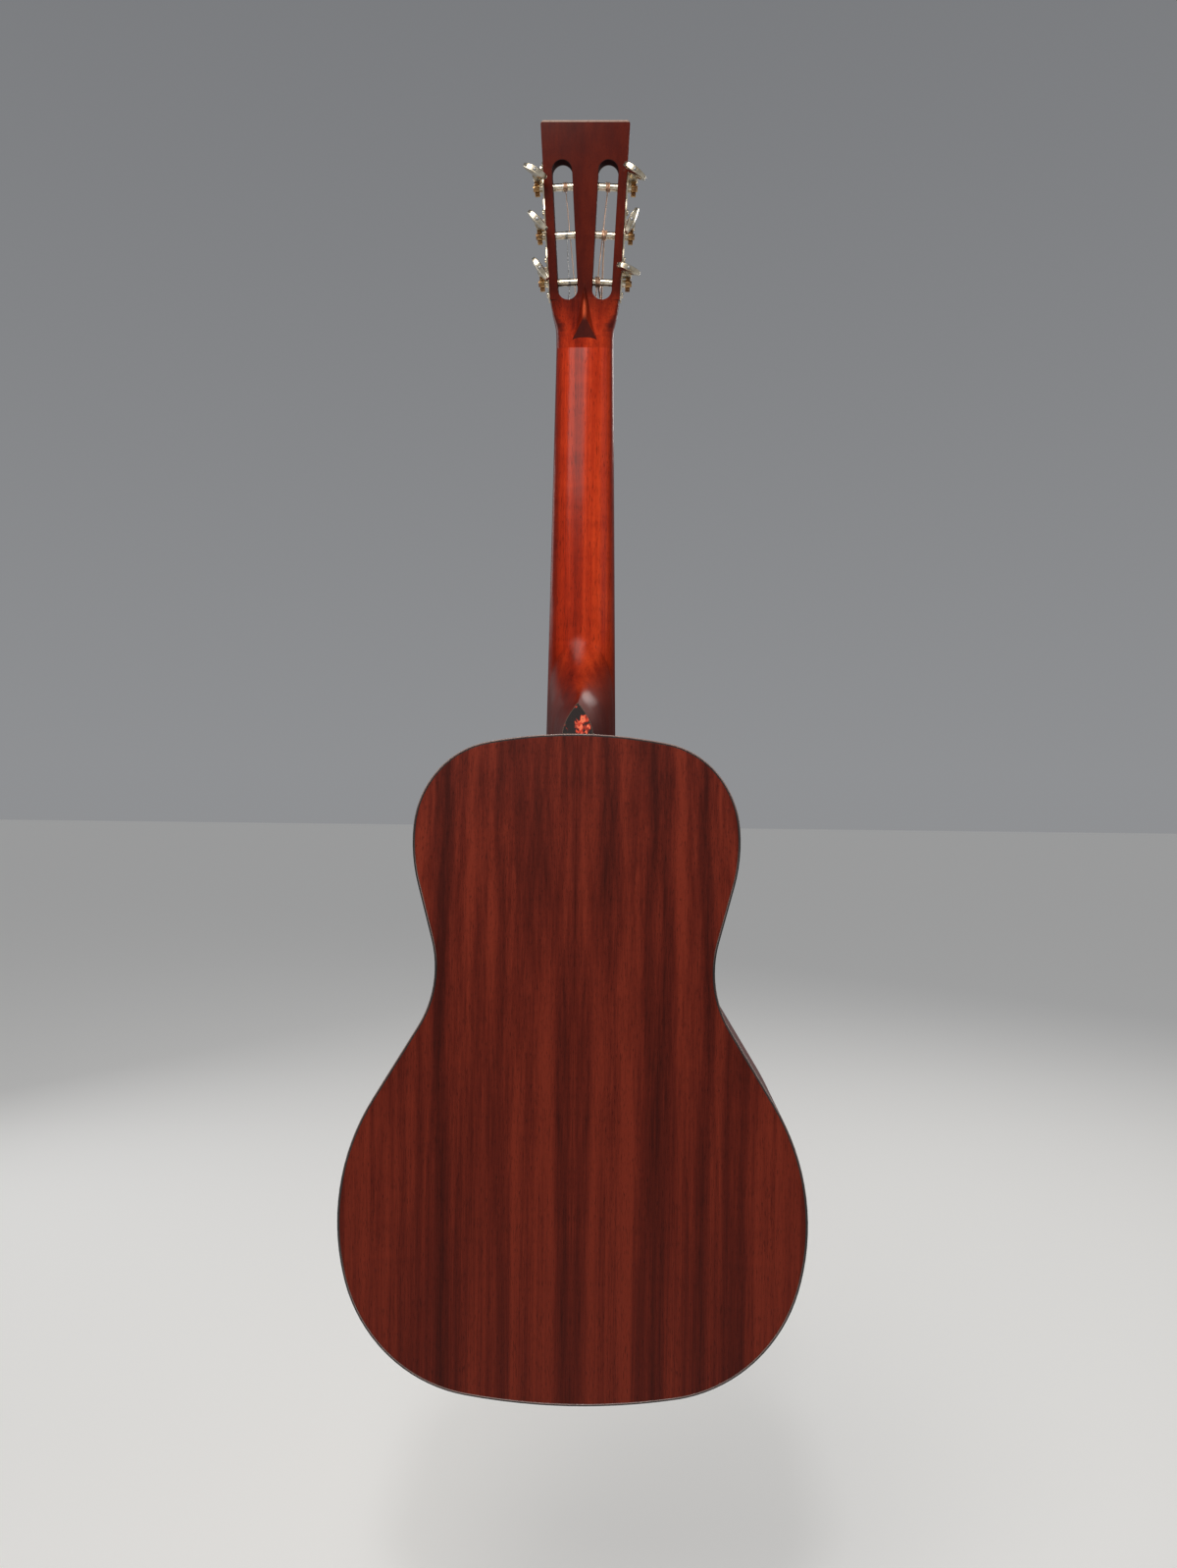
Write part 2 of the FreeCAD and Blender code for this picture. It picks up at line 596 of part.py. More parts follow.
def stadium(cx, cv, wide, low, high, tilt, y0, y1):
    """Slot with round ends, in the head frame."""
    r = wide / 2.0
    a, b = low - cv + r, high - cv - r
    w = Part.Wire([Part.LineSegment(V(r, y0, a), V(r, y0, b)).toShape(),
                   Part.Arc(V(r, y0, b), V(0, y0, b + r), V(-r, y0, b)).toShape(),
                   Part.LineSegment(V(-r, y0, b), V(-r, y0, a)).toShape(),
                   Part.Arc(V(-r, y0, a), V(0, y0, a - r), V(r, y0, a)).toShape()])
    s = Part.Face(w).extrude(V(0, y1 - y0, 0))
    s.rotate(V(0, 0, 0), V(0, 1, 0), tilt)
    s.translate(V(cx, 0, cv))
    return s


head_cuts = []
for sgn in (1, -1):
    slot = stadium(sgn * D["slot_centre_across"], D["slot_centre_up"], D["slot_wide"], D["slot_low"],
                   D["slot_high"], sgn * D["head_taper"], -40.0, 20.0)
    head_cuts.append(slot)
    # ramp for the strings at the lower end of the slot, on the front
    ramp = Part.Face(Part.makePolygon([V(-5.2, 1, 0), V(-5.2, 1, 20), V(-5.2, -8.0, 20), V(-5.2, 1, 0)])).extrude(
        V(10.4, 0, 0))
    ramp.rotate(V(0, 0, 0), V(0, 1, 0), sgn * D["head_taper"])
    ramp.translate(V(sgn * (D["slot_centre_across"] - 2.9), 0, 15.0))
    head_cuts.append(ramp)

# frames of the six machines: string 1..6, side and row
machines = {1: (-1, 0), 2: (-1, 1), 3: (-1, 2), 4: (1, 2), 5: (1, 1), 6: (1, 0)}
rest_turn = {1: 54.0, 2: 43.0, 3: 26.3, 4: 33.1, 5: -63.5, 6: 21.8}


def machine_frame(n):
    side, row = machines[n]
    v = D["roller_first"] + row * D["roller_pitch"]
    return HEAD.multiply(FreeCAD.Placement(V(side * head_half(v), -D["roller_depth"], v),
                                           FreeCAD.Rotation(V(0, 1, 0), side * D["head_taper"])))


ROLL_IN = 27.0
bore = D["journal_radius"] + D["bearing_gap"]
bores = []
for n in range(1, 7):
    side, row = machines[n]
    bores.append(put(cyl(bore, ROLL_IN + 30.2, V(-side * (ROLL_IN + 0.2), 0, 0), V(side, 0, 0)), machine_frame(n)))

# side plate screws: two beside each end, one between machines
step = D["roller_pitch"] / math.cos(math.radians(D["head_taper"]))
screw_rows = [-8.6, 0.5 * step, 1.5 * step, 2 * step + 13.6]
screws = []
for side in (1, -1):
    base = machine_frame(6 if side > 0 else 1)
    for zr in screw_rows:
        shank = cyl(1.1, 5.2, V(side * D["plate_thick"], 0, zr), V(-side, 0, 0))
        head = cyl(2.2, 1.3, V(side * D["plate_thick"], 0, zr), V(side, 0, 0))
        head = head.cut(box(-20, 20, -0.3, 0.3, zr - 5, zr + 5).common(
            box(*((D["plate_thick"] + 0.7, 20) if side > 0 else (-20, -D["plate_thick"] - 0.7)), -5, 5, zr - 5, zr + 5)))
        screws.append(put(shank.fuse(head), base))
for c in head_cuts:
    neck = neck.cut(put(c, HEAD))
for b in bores:
    neck = neck.cut(b)
for s in screws:
    neck = neck.cut(s)
rod_slot = box(-D["rod_wide"] / 2, D["rod_wide"] / 2, -D["rod_deep"], 5, -D["tenon_long"] - 1, -D["tenon_long"] + D["rod_long"])
neck = neck.cut(rod_slot)
feature("neck", neck.removeSplitter())

# head veneer, in the head's own plane
vb = new_body("head_veneer")
sk = new_sketch(vb, "head_veneer_outline")
import Sketcher
vpts = [(-21.5, 0.0), (21.5, 0.0), (21.5, 2.0), (22.8, 8.0), (25.0, 13.4), (26.4, 20.0), (D["head_half_low"], 28.0),
        (head_half(hl - cr), hl - cr), (head_half(hl) - cr * 0.3, hl - cr * 0.3), (head_half(hl) - cr, hl)]
vpts = vpts + [(-x, y) for (x, y) in reversed(vpts[2:])]
add_loop(sk, vpts)
pad(vb, sk, "head_veneer_pad", D["veneer_thick"], E + "veneer_thick")
for sgn in (1, -1):
    sk = new_sketch(vb, "veneer_slot_%s" % ("bass" if sgn > 0 else "treble"))
    r = D["slot_wide"] / 2.0
    t = math.radians(D["head_taper"])

    def turn(a, b):
        return (sgn * (D["slot_centre_across"] + a * math.cos(t) + b * math.sin(t)),
                D["slot_centre_up"] - a * math.sin(t) + b * math.cos(t))

    lo = D["slot_low"] - D["slot_centre_up"] + r
    hi = D["slot_high"] - D["slot_centre_up"] - r
    ring_pts = []
    for i in range(25):
        a = math.pi * i / 24.0
        ring_pts.append(turn(r * math.cos(a), hi + r * math.sin(a)))
    for i in range(25):
        a = math.pi + math.pi * i / 24.0
        ring_pts.append(turn(r * math.cos(a), lo + r * math.sin(a)))
    add_loop(sk, ring_pts)
    pocket(vb, sk, "veneer_slot_cut_%s" % ("bass" if sgn > 0 else "treble"), 10.0, None, True)
    sk = new_sketch(vb, "veneer_ramp_%s" % ("bass" if sgn > 0 else "treble"))
    cx = sgn * (D["slot_centre_across"] - 2.9)
    add_loop(sk, [(cx - 5.2, 17.2), (cx + 5.2, 17.2), (cx + 5.2, 36.0), (cx - 5.2, 36.0)])
    pocket(vb, sk, "veneer_ramp_cut_%s" % ("bass" if sgn > 0 else "treble"), 10.0, None, True)
vb.Placement = HEAD.multiply(FACE)
label(vb, "head_veneer")

# heel cap
hb = new_body("heel_cap")
sk = new_sketch(hb, "heel_cap_outline")
pts = [V(D["heel_cap_wide"] / 2.0 * (1 - (i / 8.0) ** 1.7), D["heel_cap_tall"] * i / 8.0, 0) for i in range(9)]
c1 = Part.BSplineCurve()
c1.interpolate(pts)
c2 = Part.BSplineCurve()
c2.interpolate([V(-p.x, p.y, 0) for p in reversed(pts)])
g0 = sk.addGeometry(Part.LineSegment(V(-D["heel_cap_wide"] / 2.0, 0, 0), V(D["heel_cap_wide"] / 2.0, 0, 0)), False)
g1 = sk.addGeometry(c1, False)
g2 = sk.addGeometry(c2, False)
for a, b in ((g0, g1), (g1, g2), (g2, g0)):
    sk.addConstraint(Sketcher.Constraint("Coincident", a, 2, b, 1))
pad(hb, sk, "heel_cap_pad", cap_t, E + "heel_cap_thick")
hb.Placement = FreeCAD.Placement(V(0, cap_y + cap_t, 0.0), FreeCAD.Rotation(V(1, 0, 0), 90))
label(hb, "heel_cap")

# truss rod
tb = new_body("truss_rod")
sk = new_sketch(tb, "truss_rod_section")
add_rect(sk, D["rod_wide"], D["rod_deep"] - 1.0, E + "rod_wide", E + "rod_deep - 1", 0.0, 0.0)
pad(tb, sk, "truss_rod_pad", D["rod_long"], E + "rod_long")
tb.Placement = FreeCAD.Placement(V(0, -D["rod_deep"] / 2.0 - 0.5, -D["tenon_long"]), FreeCAD.Rotation())
label(tb, "truss_rod")


# ---------------------------------------------------------------- fretboard
def fret_z(n):
    return NUT_Z - D["scale_length"] * (1.0 - 2.0 ** (-n / 12.0))


be = -D["board_end"]
board_pts = [(-shaft_half(NUT_Z), NUT_Z), (shaft_half(NUT_Z), NUT_Z), (shaft_half(be), be), (-shaft_half(be), be)]
board_prism = prism_y(board_pts, -2.0, 12.0)
axis_y = D["board_thick"] - D["board_radius"]
barrel = cyl(D["board_radius"], 500, V(0, axis_y, -150), V(0, 0, 1))
board = prism_y(board_pts, 0.0, 12.0).common(barrel)


def fret(n):
    zc = fret_z(n)
    hw = D["fret_wide"] / 2.0
    tw = D["tang_wide"] / 2.0
    top_y = D["board_thick"]
    a = V(0, top_y, zc - hw)
    b = V(0, top_y + D["fret_tall"], zc)
    c = V(0, top_y, zc + hw)
    crown = Part.Arc(a, b, c).toShape()
    loop = [crown, Part.LineSegment(c, V(0, top_y, zc + tw)).toShape(),
            Part.LineSegment(V(0, top_y, zc + tw), V(0, top_y - D["tang_deep"], zc + tw)).toShape(),
            Part.LineSegment(V(0, top_y - D["tang_deep"], zc + tw), V(0, top_y - D["tang_deep"], zc - tw)).toShape(),
            Part.LineSegment(V(0, top_y - D["tang_deep"], zc - tw), V(0, top_y, zc - tw)).toShape(),
            Part.LineSegment(V(0, top_y, zc - tw), a).toShape()]
    f = Part.Face(Part.Wire(loop))
    f.rotate(V(0, axis_y, 0), V(0, 0, 1), 5.0)
    return f.revolve(V(0, axis_y, 0), V(0, 0, 1), -10.0).common(board_prism)


frets = [fret(n) for n in range(1, int(D["fret_count"]) + 1)]
dots = []
for n, places in ((5, (0,)), (7, (0,)), (9, (0,)), (12, (-11, 11)), (15, (0,))):
    zc = 0.5 * (fret_z(n) + fret_z(n - 1))
    for x in places:
        dots.append(cyl(D["dot_dia"] / 2.0, 10, V(x, D["board_thick"] - D["dot_deep"] - 0.1, zc), V(0, 1, 0)).common(board))
    dots.append(cyl(1.0, 12, V(shaft_half(zc) - 2.0, 2.6, zc), V(1, 0, 0)).common(board))
for f in frets:
    board = board.cut(f)
for d in dots:
    board = board.cut(d)
feature("fretboard", board)
feature("frets", Part.makeCompound(frets))
feature("fret_dots", Part.makeCompound(dots))

# ---------------------------------------------------------------- strings
gauges = {1: 0.33, 2: 0.43, 3: 0.61, 4: 0.81, 5: 1.07, 6: 1.35}
wind_x = {1: -12.0, 2: -14.5, 3: -15.5, 4: 17.4, 5: 14.8, 6: 10.0}
nut_line_z = NUT_Z + 1.5
slant = math.tan(math.radians(D["saddle_slant"]))


def chain(points, r):
    """Round wire through points, a ball at each bend."""
    out = None
    for i in range(len(points) - 1):
        a, b = points[i], points[i + 1]
        piece = cyl(r, (b - a).Length, a, b - a)
        out = piece if out is None else out.fuse(piece)
        if i:
            out = out.fuse(Part.makeSphere(r, a))
    return out


def string_points(n):
    r = gauges[n] / 2.0
    k = string_x[n - 1]
    side, row = machines[n]
    xn = D["nut_spread"] * k
    nut_p = V(xn, 7.7 + r, nut_line_z)
    xs = D["saddle_spread"] * k
    crown = math.sqrt(D["board_radius"] ** 2 - xs ** 2) - D["board_radius"]
    saddle_p = V(xs, 11.0 + crown + r, -D["saddle_offset"] - xs * slant)
    px = D["saddle_spread"] * 1.02 * k
    pin_top = V(px, D["bridge_thick"] + 0.35 * r, pin_hole_z + D["pin_hole_radius"] - r - 0.05)
    pin_low = V(px, -TOP - 2.4 - 1.6, pin_hole_z + D["pin_hole_radius"] - r - 0.05)
    # where the string leaves the roller, on its front side
    inv = HEAD.inverse()
    q = inv.multVec(nut_p)
    v = D["roller_first"] + row * D["roller_pitch"]
    rr = D["roller_radius"] + 0.3 + r
    dv, dw = q.z - v, q.y + D["roller_depth"]
    dist = math.hypot(dv, dw)
    base = math.atan2(dw, dv)
    ang = base - math.acos(rr / dist)
    tv, tw = v + rr * math.cos(ang), -D["roller_depth"] + rr * math.sin(ang)
    if tw < -D["roller_depth"]:
        ang = base + math.acos(rr / dist)
        tv, tw = v + rr * math.cos(ang), -D["roller_depth"] + rr * math.sin(ang)
    leave = HEAD.multVec(V(wind_x[n], tw, tv))
    return [leave, nut_p, saddle_p, pin_top, pin_low]


strings = {}
for n in range(1, 7):
    pts = string_points(n)
    r = gauges[n] / 2.0
    wire = chain(pts, r)
    ball = cyl(1.9, 3.0, V(pts[-1].x - 1.5, pts[-1].y - 1.6, pts[-1].z), V(1, 0, 0))
    strings[n] = wire.fuse(ball).removeSplitter()
feature("plain_strings", Part.makeCompound([strings[1], strings[2]]))
feature("wound_strings", Part.makeCompound([strings[i] for i in (3, 4, 5, 6)]))

# ---------------------------------------------------------------- nut
nb = new_body("nut_blank")
sk = new_sketch(nb, "nut_side")
nt, nh = D["nut_thick"], D["nut_tall"]
add_loop(sk, [(0, 0), (nt, 0), (nt, nh - 2.2), (2.4, nh), (0, nh)])
pad(nb, sk, "nut_pad", D["nut_width"], E + "nut_width", False, True)
# local X runs up the neck, local Y out of the face
nb.Placement = FreeCAD.Placement(V(0, 0, NUT_Z), FreeCAD.Rotation(V(0, 0, 1), V(0, 1, 0), V(-1, 0, 0)))
doc.recompute()
nut_shape = nb.Shape.copy()
for n in range(1, 7):
    pts = string_points(n)
    r = gauges[n] / 2.0
    for i in (0, 1):
        a, b = pts[i], pts[i + 1]
        nut_shape = nut_shape.cut(cyl(r + 0.02, (b - a).Length, a, b - a))
    nut_shape = nut_shape.cut(Part.makeSphere(r + 0.02, pts[1]))
    nut_shape = nut_shape.cut(box(pts[1].x - r - 0.02, pts[1].x + r + 0.02, pts[1].y, pts[1].y + 5, NUT_Z - 1,
                                  NUT_Z + nt + 1))
feature("nut", max(nut_shape.Solids, key=lambda q: q.Volume))

# ---------------------------------------------------------------- bridge
bb = new_body("bridge")
sk = new_sketch(bb, "bridge_section")
bl, bt, bw = D["bridge_long"] / 2.0, D["bridge_thick"], D["bridge_wing"]
add_loop(sk, [(-bl, 0), (bl, 0), (bl, bw - 1.4), (bl - 10, bw + 0.4), (bl - 27, bw + 1.2), (bl - 34, bt),
              (-bl + 34, bt), (-bl + 27, bw + 1.2), (-bl + 10, bw + 0.4), (-bl, bw - 1.4)])
pad(bb, sk, "bridge_pad", D["bridge_wide"], E + "bridge_wide")
front_edge = -D["saddle_offset"] + 8.4
bb.Placement = FreeCAD.Placement(V(0, 0, front_edge - D["bridge_wide"]), FreeCAD.Rotation())
doc.recompute()
sl = D["saddle_long"] / 2.0
st = D["saddle_thick"] / 2.0
saddle_box = box(-sl, sl, D["bridge_thick"] - D["saddle_sunk"], 30, -st, st)
saddle_box.rotate(V(0, 0, 0), V(0, 1, 0), D["saddle_slant"])
saddle_box.translate(V(0, 0, -D["saddle_offset"]))
bridge_raw = bb.Shape.copy().cut(saddle_box)
for p in pin_holes:
    bridge_raw = bridge_raw.cut(p)
bridge_shape = max(bridge_raw.Solids, key=lambda q: q.Volume)
saddle_crown = cyl(D["board_radius"], 80, V(0, 11.0 - D["board_radius"], -D["saddle_offset"] - 40), V(0, 0, 1))
saddle_shape = saddle_box.common(saddle_crown)
for n in range(1, 7):
    pts = string_points(n)
    r = gauges[n] / 2.0
    for i in (1, 2):
        a, b = pts[i], pts[i + 1]
        tool = cyl(r + 0.02, (b - a).Length, a, b - a)
        saddle_shape = saddle_shape.cut(tool)
        bridge_shape = bridge_shape.cut(tool)
    ball = Part.makeSphere(r + 0.02, pts[2])
    saddle_shape = saddle_shape.cut(ball)
    bridge_shape = bridge_shape.cut(Part.makeSphere(r + 0.02, pts[3]))
label(bb, "bridge_blank")
nodes.remove(bb)
nodes_hidden = [bb, nb]
feature("bridge", max(bridge_shape.Solids, key=lambda q: q.Volume))
feature("saddle", max(saddle_shape.Solids, key=lambda q: q.Volume))

# bridge pins: each with a flute for its string
pins = []
for n in range(1, 7):
    r = gauges[n] / 2.0
    x = D["saddle_spread"] * 1.02 * string_x[n - 1]
    z = pin_hole_z
    hr = D["pin_head_radius"]
    ph = D["pin_hole_radius"]
    y0 = D["bridge_thick"]
    prof = [V(0, y0 - 0.9 * D["pin_long"], 0), V(ph - 0.6, y0 - 0.9 * D["pin_long"], 0), V(ph, y0 - 8, 0),
            V(ph, y0 + 0.6, 0), V(hr, y0 + 1.0, 0), V(hr, y0 + 2.4, 0), V(hr - 1.2, y0 + 4.0, 0), V(0, y0 + 4.6, 0)]
    pin = Part.Face(Part.makePolygon(prof + prof[:1])).revolve(V(0, 0, 0), V(0, 1, 0), 360)
    pin.translate(V(x, 0, z))
    a = string_points(n)
    flute = box(x - r - 0.15, x + r + 0.15, -60, y0 + 0.6, z + ph - 2 * r - 0.35, z + 20)
    pin = pin.cut(flute)
    tool = cyl(r + 0.1, (a[3] - a[2]).Length, a[2], a[3] - a[2]).fuse(Part.makeSphere(r + 0.12, a[3]))
    pin = pin.cut(tool)
    pin = pin.cut(box(x - r - 0.15, x + r + 0.15, y0 - 0.1, y0 + 2.6, z, z + 20))
    low = cyl(2.0, 3.2, V(x - 1.6, a[4].y - 1.6, a[4].z), V(1, 0, 0))
    pin = pin.cut(low)
    pins.append(max(pin.Solids, key=lambda q: q.Volume))
feature("bridge_pins", Part.makeCompound(pins))

# end pin
eb = new_body("end_pin")
sk = new_sketch(eb, "end_pin_half", 0.0, "XZ_Plane")
hr, sr, out, inn = D["end_pin_head"], D["end_pin_shank"], D["end_pin_out"], D["end_pin_in"]
add_loop(sk, [(0, inn), (sr, inn), (sr, 0), (hr - 1.2, 0), (hr - 1.2, -1.6), (sr - 0.2, -3.2), (sr - 0.4, -out + 6.5),
              (hr - 0.6, -out + 4.5), (hr, -out + 3.2), (hr, -out + 2.0), (hr - 1.5, -out + 0.5), (0, -out)])
rev = eb.newObject("PartDesign::Revolution", "end_pin_turned")
rev.Profile = sk
rev.ReferenceAxis = (sk, ["V_Axis"])
rev.Angle = 360.0
sk.Visibility = False
eb.Placement = FreeCAD.Placement(V(0, end_pin_y, -D["body_length"]), FreeCAD.Rotation())
label(eb, "end_pin")

# pickguard
gp = [(-31.0, -118.0), (-36.0, -110.0), (-47.5, -108.5), (-58.0, -118.0), (-66.0, -140.0), (-76.0, -165.0),
      (-92.0, -190.0), (-101.0, -215.0), (-98.0, -238.0), (-82.0, -252.0), (-60.0, -250.0), (-45.0, -236.0),
      (-36.0, -220.0), (-30.0, -208.0)]
gc = Part.BSplineCurve()
gc.interpolate([V(p[0], 0, p[1]) for p in gp], PeriodicFlag=True)
guard = Part.Face(Part.Wire([gc.toShape()])).extrude(V(0, D["guard_thick"], 0))
guard = guard.cut(cyl(D["rosette_in"] - 1.5, 20, V(0, -5, -D["hole_drop"]), V(0, 1, 0)))
feature("pickguard", max(guard.Solids, key=lambda q: q.Volume))

# ---------------------------------------------------------------- tuning machines
pitch = 2.0 * math.pi * D["gear_pitch_radius"] / D["gear_teeth"]
EAR_IN, EAR_OUT = 6.3, 7.7


def side_plate(side):
    """Plate on the side of the head with bearing ears, in the frame of its lowest machine."""
    z0, z1 = 34.0 - D["plate_long"] / 2.0 + 2.0, 34.0 + D["plate_long"] / 2.0 + 2.0
    half = D["plate_wide"] / 2.0
    pts = []
    n = 60
    rows = []
    for i in range(n + 1):
        t = i / float(n)
        z = z0 + 4 + (z1 - z0 - 8) * t
        wave = 0.55 * math.cos(2 * math.pi * (z - 0.0) / 17.0)
        rows.append((z, half + wave - 0.2))
    back_edge = [(-y, z) for (z, y) in rows]
    front_edge_pts = [(y, z) for (z, y) in reversed(rows)]
    tip_hi = [(-2.6, z1 - 2.2), (0.0, z1), (2.6, z1 - 2.2)]
    tip_lo = [(2.6, z0 + 2.2), (0.0, z0), (-2.6, z0 + 2.2)]
    loop = back_edge + tip_hi + front_edge_pts + tip_lo
    w = Part.makePolygon([V(0, p[0], p[1]) for p in loop + loop[:1]])
    plate = Part.Face(w).extrude(V(side * D["plate_thick"], 0, 0))
    for row in range(3):
        zc = row * step
        zw = zc + D["worm_offset"]
        for y0, y1 in ((EAR_IN, EAR_OUT), (-EAR_OUT, -EAR_IN)):
            ear = box(*sorted((side * 0.4, side * D["gear_out"])), y0, y1, zw - 3.0, zw + 3.0)
            ear = ear.fuse(cyl(3.0, y1 - y0, V(side * D["gear_out"], y0, zw), V(0, 1, 0)))
            plate = plate.fuse(ear)
        plate = plate.cut(cyl(D["worm_shaft"] + 0.05, 40, V(side * D["gear_out"], -20, zw), V(0, 1, 0)))
        plate = plate.cut(cyl(bore, 10, V(-side * 2, 0, zc), V(side, 0, 0)))
    for s in screws_local(side):
        plate = plate.cut(s)
    return plate.removeSplitter()


def screws_local(side):
    return [cyl(1.1, 12, V(-side * 5, 0, zr), V(side, 0, 0)) for zr in screw_rows]


feature("tuner_plate_bass", side_plate(1), machine_frame(6))
feature("tuner_plate_treble", side_plate(-1), machine_frame(1))
feature("tuner_screws", Part.makeCompound(screws))


def worm_solid(side):
    """Worm shaft along local Y with a right-hand single-start thread, centred at y = 0."""
    turns = D["worm_turns"]
    tall = pitch * turns
    helix = Part.makeHelix(pitch, tall, D["worm_core"] + 0.1)
    rt, rc = D["worm_tip"], D["worm_core"] - 0.15
    prof = Part.makePolygon([V(rc, 0, -0.44), V(rt, 0, -0.22), V(rt, 0, 0.22), V(rc, 0, 0.44), V(rc, 0, -0.44)])
    thread = Part.Wire(helix.Edges).makePipeShell([prof], True, True)
    thread.translate(V(0, 0, -tall / 2.0))
    half = EAR_IN - 0.15
    core = cyl(D["worm_core"], 2 * half - 0.2, V(0, 0, -half + 0.1), V(0, 0, 1))
    thread = thread.fuse(core)
    thread = thread.common(cyl(10, 2 * half - 0.2, V(0, 0, -half + 0.1), V(0, 0, 1)))
    back_end = -(-BACK_W - D["roller_depth"]) - D["button_gap"] - 9.0
    rod = cyl(D["worm_shaft"], EAR_OUT + 0.9 - (-half), V(0, 0, -half), V(0, 0, 1))
    rod = cyl(D["worm_shaft"], (EAR_OUT + 0.9) - (back_end + 9.0), V(0, 0, back_end + 9.0), V(0, 0, 1))
    stub = cyl(1.2, 9.5, V(0, 0, back_end), V(0, 0, 1))
    collar = cyl(2.3, 0.9, V(0, 0, -EAR_OUT - 0.3 - 0.9), V(0, 0, 1))
    w = thread.fuse([rod, stub, collar]).removeSplitter()
    # stand it along +Y with the thread crossing the gear side at y = 0
    w.Placement = FreeCAD.Placement(V(side * D["gear_out"], 0, D["worm_offset"]),
                                    FreeCAD.Rotation(V(0, 0, -1), V(-1, 0, 0), V(0, 1, 0)))
    return w


def button_body(n, side):
    """Flattened oval knob on the end of the shaft."""
    b = new_body("button_%d_oval" % n)
    sk = new_sketch(b, "button_%d_outline" % n)
    a, c = D["button_wide"] / 2.0, D["button_long"] / 2.0
    pts = []
    m = 28
    for i in range(m):
        t = 2 * math.pi * i / m
        px = a * math.copysign(abs(math.cos(t)) ** 0.75, math.cos(t))
        py = c * math.copysign(abs(math.sin(t)) ** 0.8, math.sin(t))
        pts.append(V(px, py, 0))
    curve = Part.BSplineCurve()
    curve.interpolate(pts, PeriodicFlag=True)
    sk.addGeometry(curve, False)
    p = pad(b, sk, "button_%d_pad" % n, D["button_thick"], E + "button_thick", False, True)
    doc.recompute()
    # both faces are crowned, thick at the middle and thin at the rim
    crown = doc.addObject("Part::Ellipsoid", "button_%d_crown" % n)
    crown.setExpression("Radius1", E + "button_crown / 2")
    crown.setExpression("Radius2", E + "button_wide * 0.55")
    crown.setExpression("Radius3", E + "button_long * 0.68")
    lens = doc.addObject("Part::MultiCommon", "button_%d_lens" % n)
    lens.Shapes = [b, crown]
    doc.recompute()
    return lens


def roller_body(n, side):
    """Roller turned along its own Z: inner tip at 0, out through the side to the gear."""
    b = new_body("string_roller_%d" % n)
    sk = new_sketch(b, "roller_%d_half" % n, 0.0, "XZ_Plane")
    wall = 6.6
    slot = D["slot_wide"]
    j = D["journal_radius"]
    r = D["roller_radius"]
    inner = ROLL_IN
    g0 = inner + D["gear_out"] - D["gear_wide"] / 2.0
    g1 = inner + D["gear_out"] + D["gear_wide"] / 2.0
    web = inner - wall - slot - 0.3
    pts = [(0, 0), (j - 0.4, 0), (j, 0.4), (j, web + 0.9), (r, web + 1.4), (r, inner - wall - 1.2),
           (j, inner - wall - 0.7), (j, g0), (D["gear_bore"], g0), (D["gear_bore"], g1), (0, g1)]
    add_loop(sk, pts)
    rev = b.newObject("PartDesign::Revolution", "roller_%d_turned" % n)
    rev.Profile = sk
    rev.ReferenceAxis = (sk, ["V_Axis"])
    rev.Angle = 360.0
    sk.Visibility = False
    doc.recompute()
    return b


def gear_body(n):
    b = new_body("gear_%d_wheel" % n)
    sk = new_sketch(b, "gear_%d_disc" % n)
    add_circle(sk, D["gear_tip_radius"], E + "gear_tip_radius", 0.0, 0.0, "tip")
    add_circle(sk, D["gear_bore"], E + "gear_bore", 0.0, 0.0, "hub")
    pad(b, sk, "gear_%d_pad" % n, D["gear_wide"], E + "gear_wide", False, True)
    sk = new_sketch(b, "gear_%d_gap" % n)
    add_loop(sk, [(-0.40, D["gear_root_radius"]), (0.40, D["gear_root_radius"]), (1.06, 6.2), (-1.06, 6.2)])
    doc.recompute()
    before = b.Shape.Volume
    pk = b.newObject("PartDesign::Pocket", "gear_%d_space" % n)
    pk.Profile = sk
    pk.Type = "ThroughAll"
    pk.Midplane = True
    sk.Visibility = False
    doc.recompute()
    if not b.Shape.Volume < before:
        raise RuntimeError("gear gap cuts nothing")
    pol = b.newObject("PartDesign::PolarPattern", "gear_%d_teeth" % n)
    pol.Originals = [pk]
    pol.Axis = (sk, ["N_Axis"])
    pol.Angle = 360.0
    pol.Occurrences = int(D["gear_teeth"])
    pol.setExpression("Occurrences", E + "gear_teeth")
    b.Tip = pol
    doc.recompute()
    return b


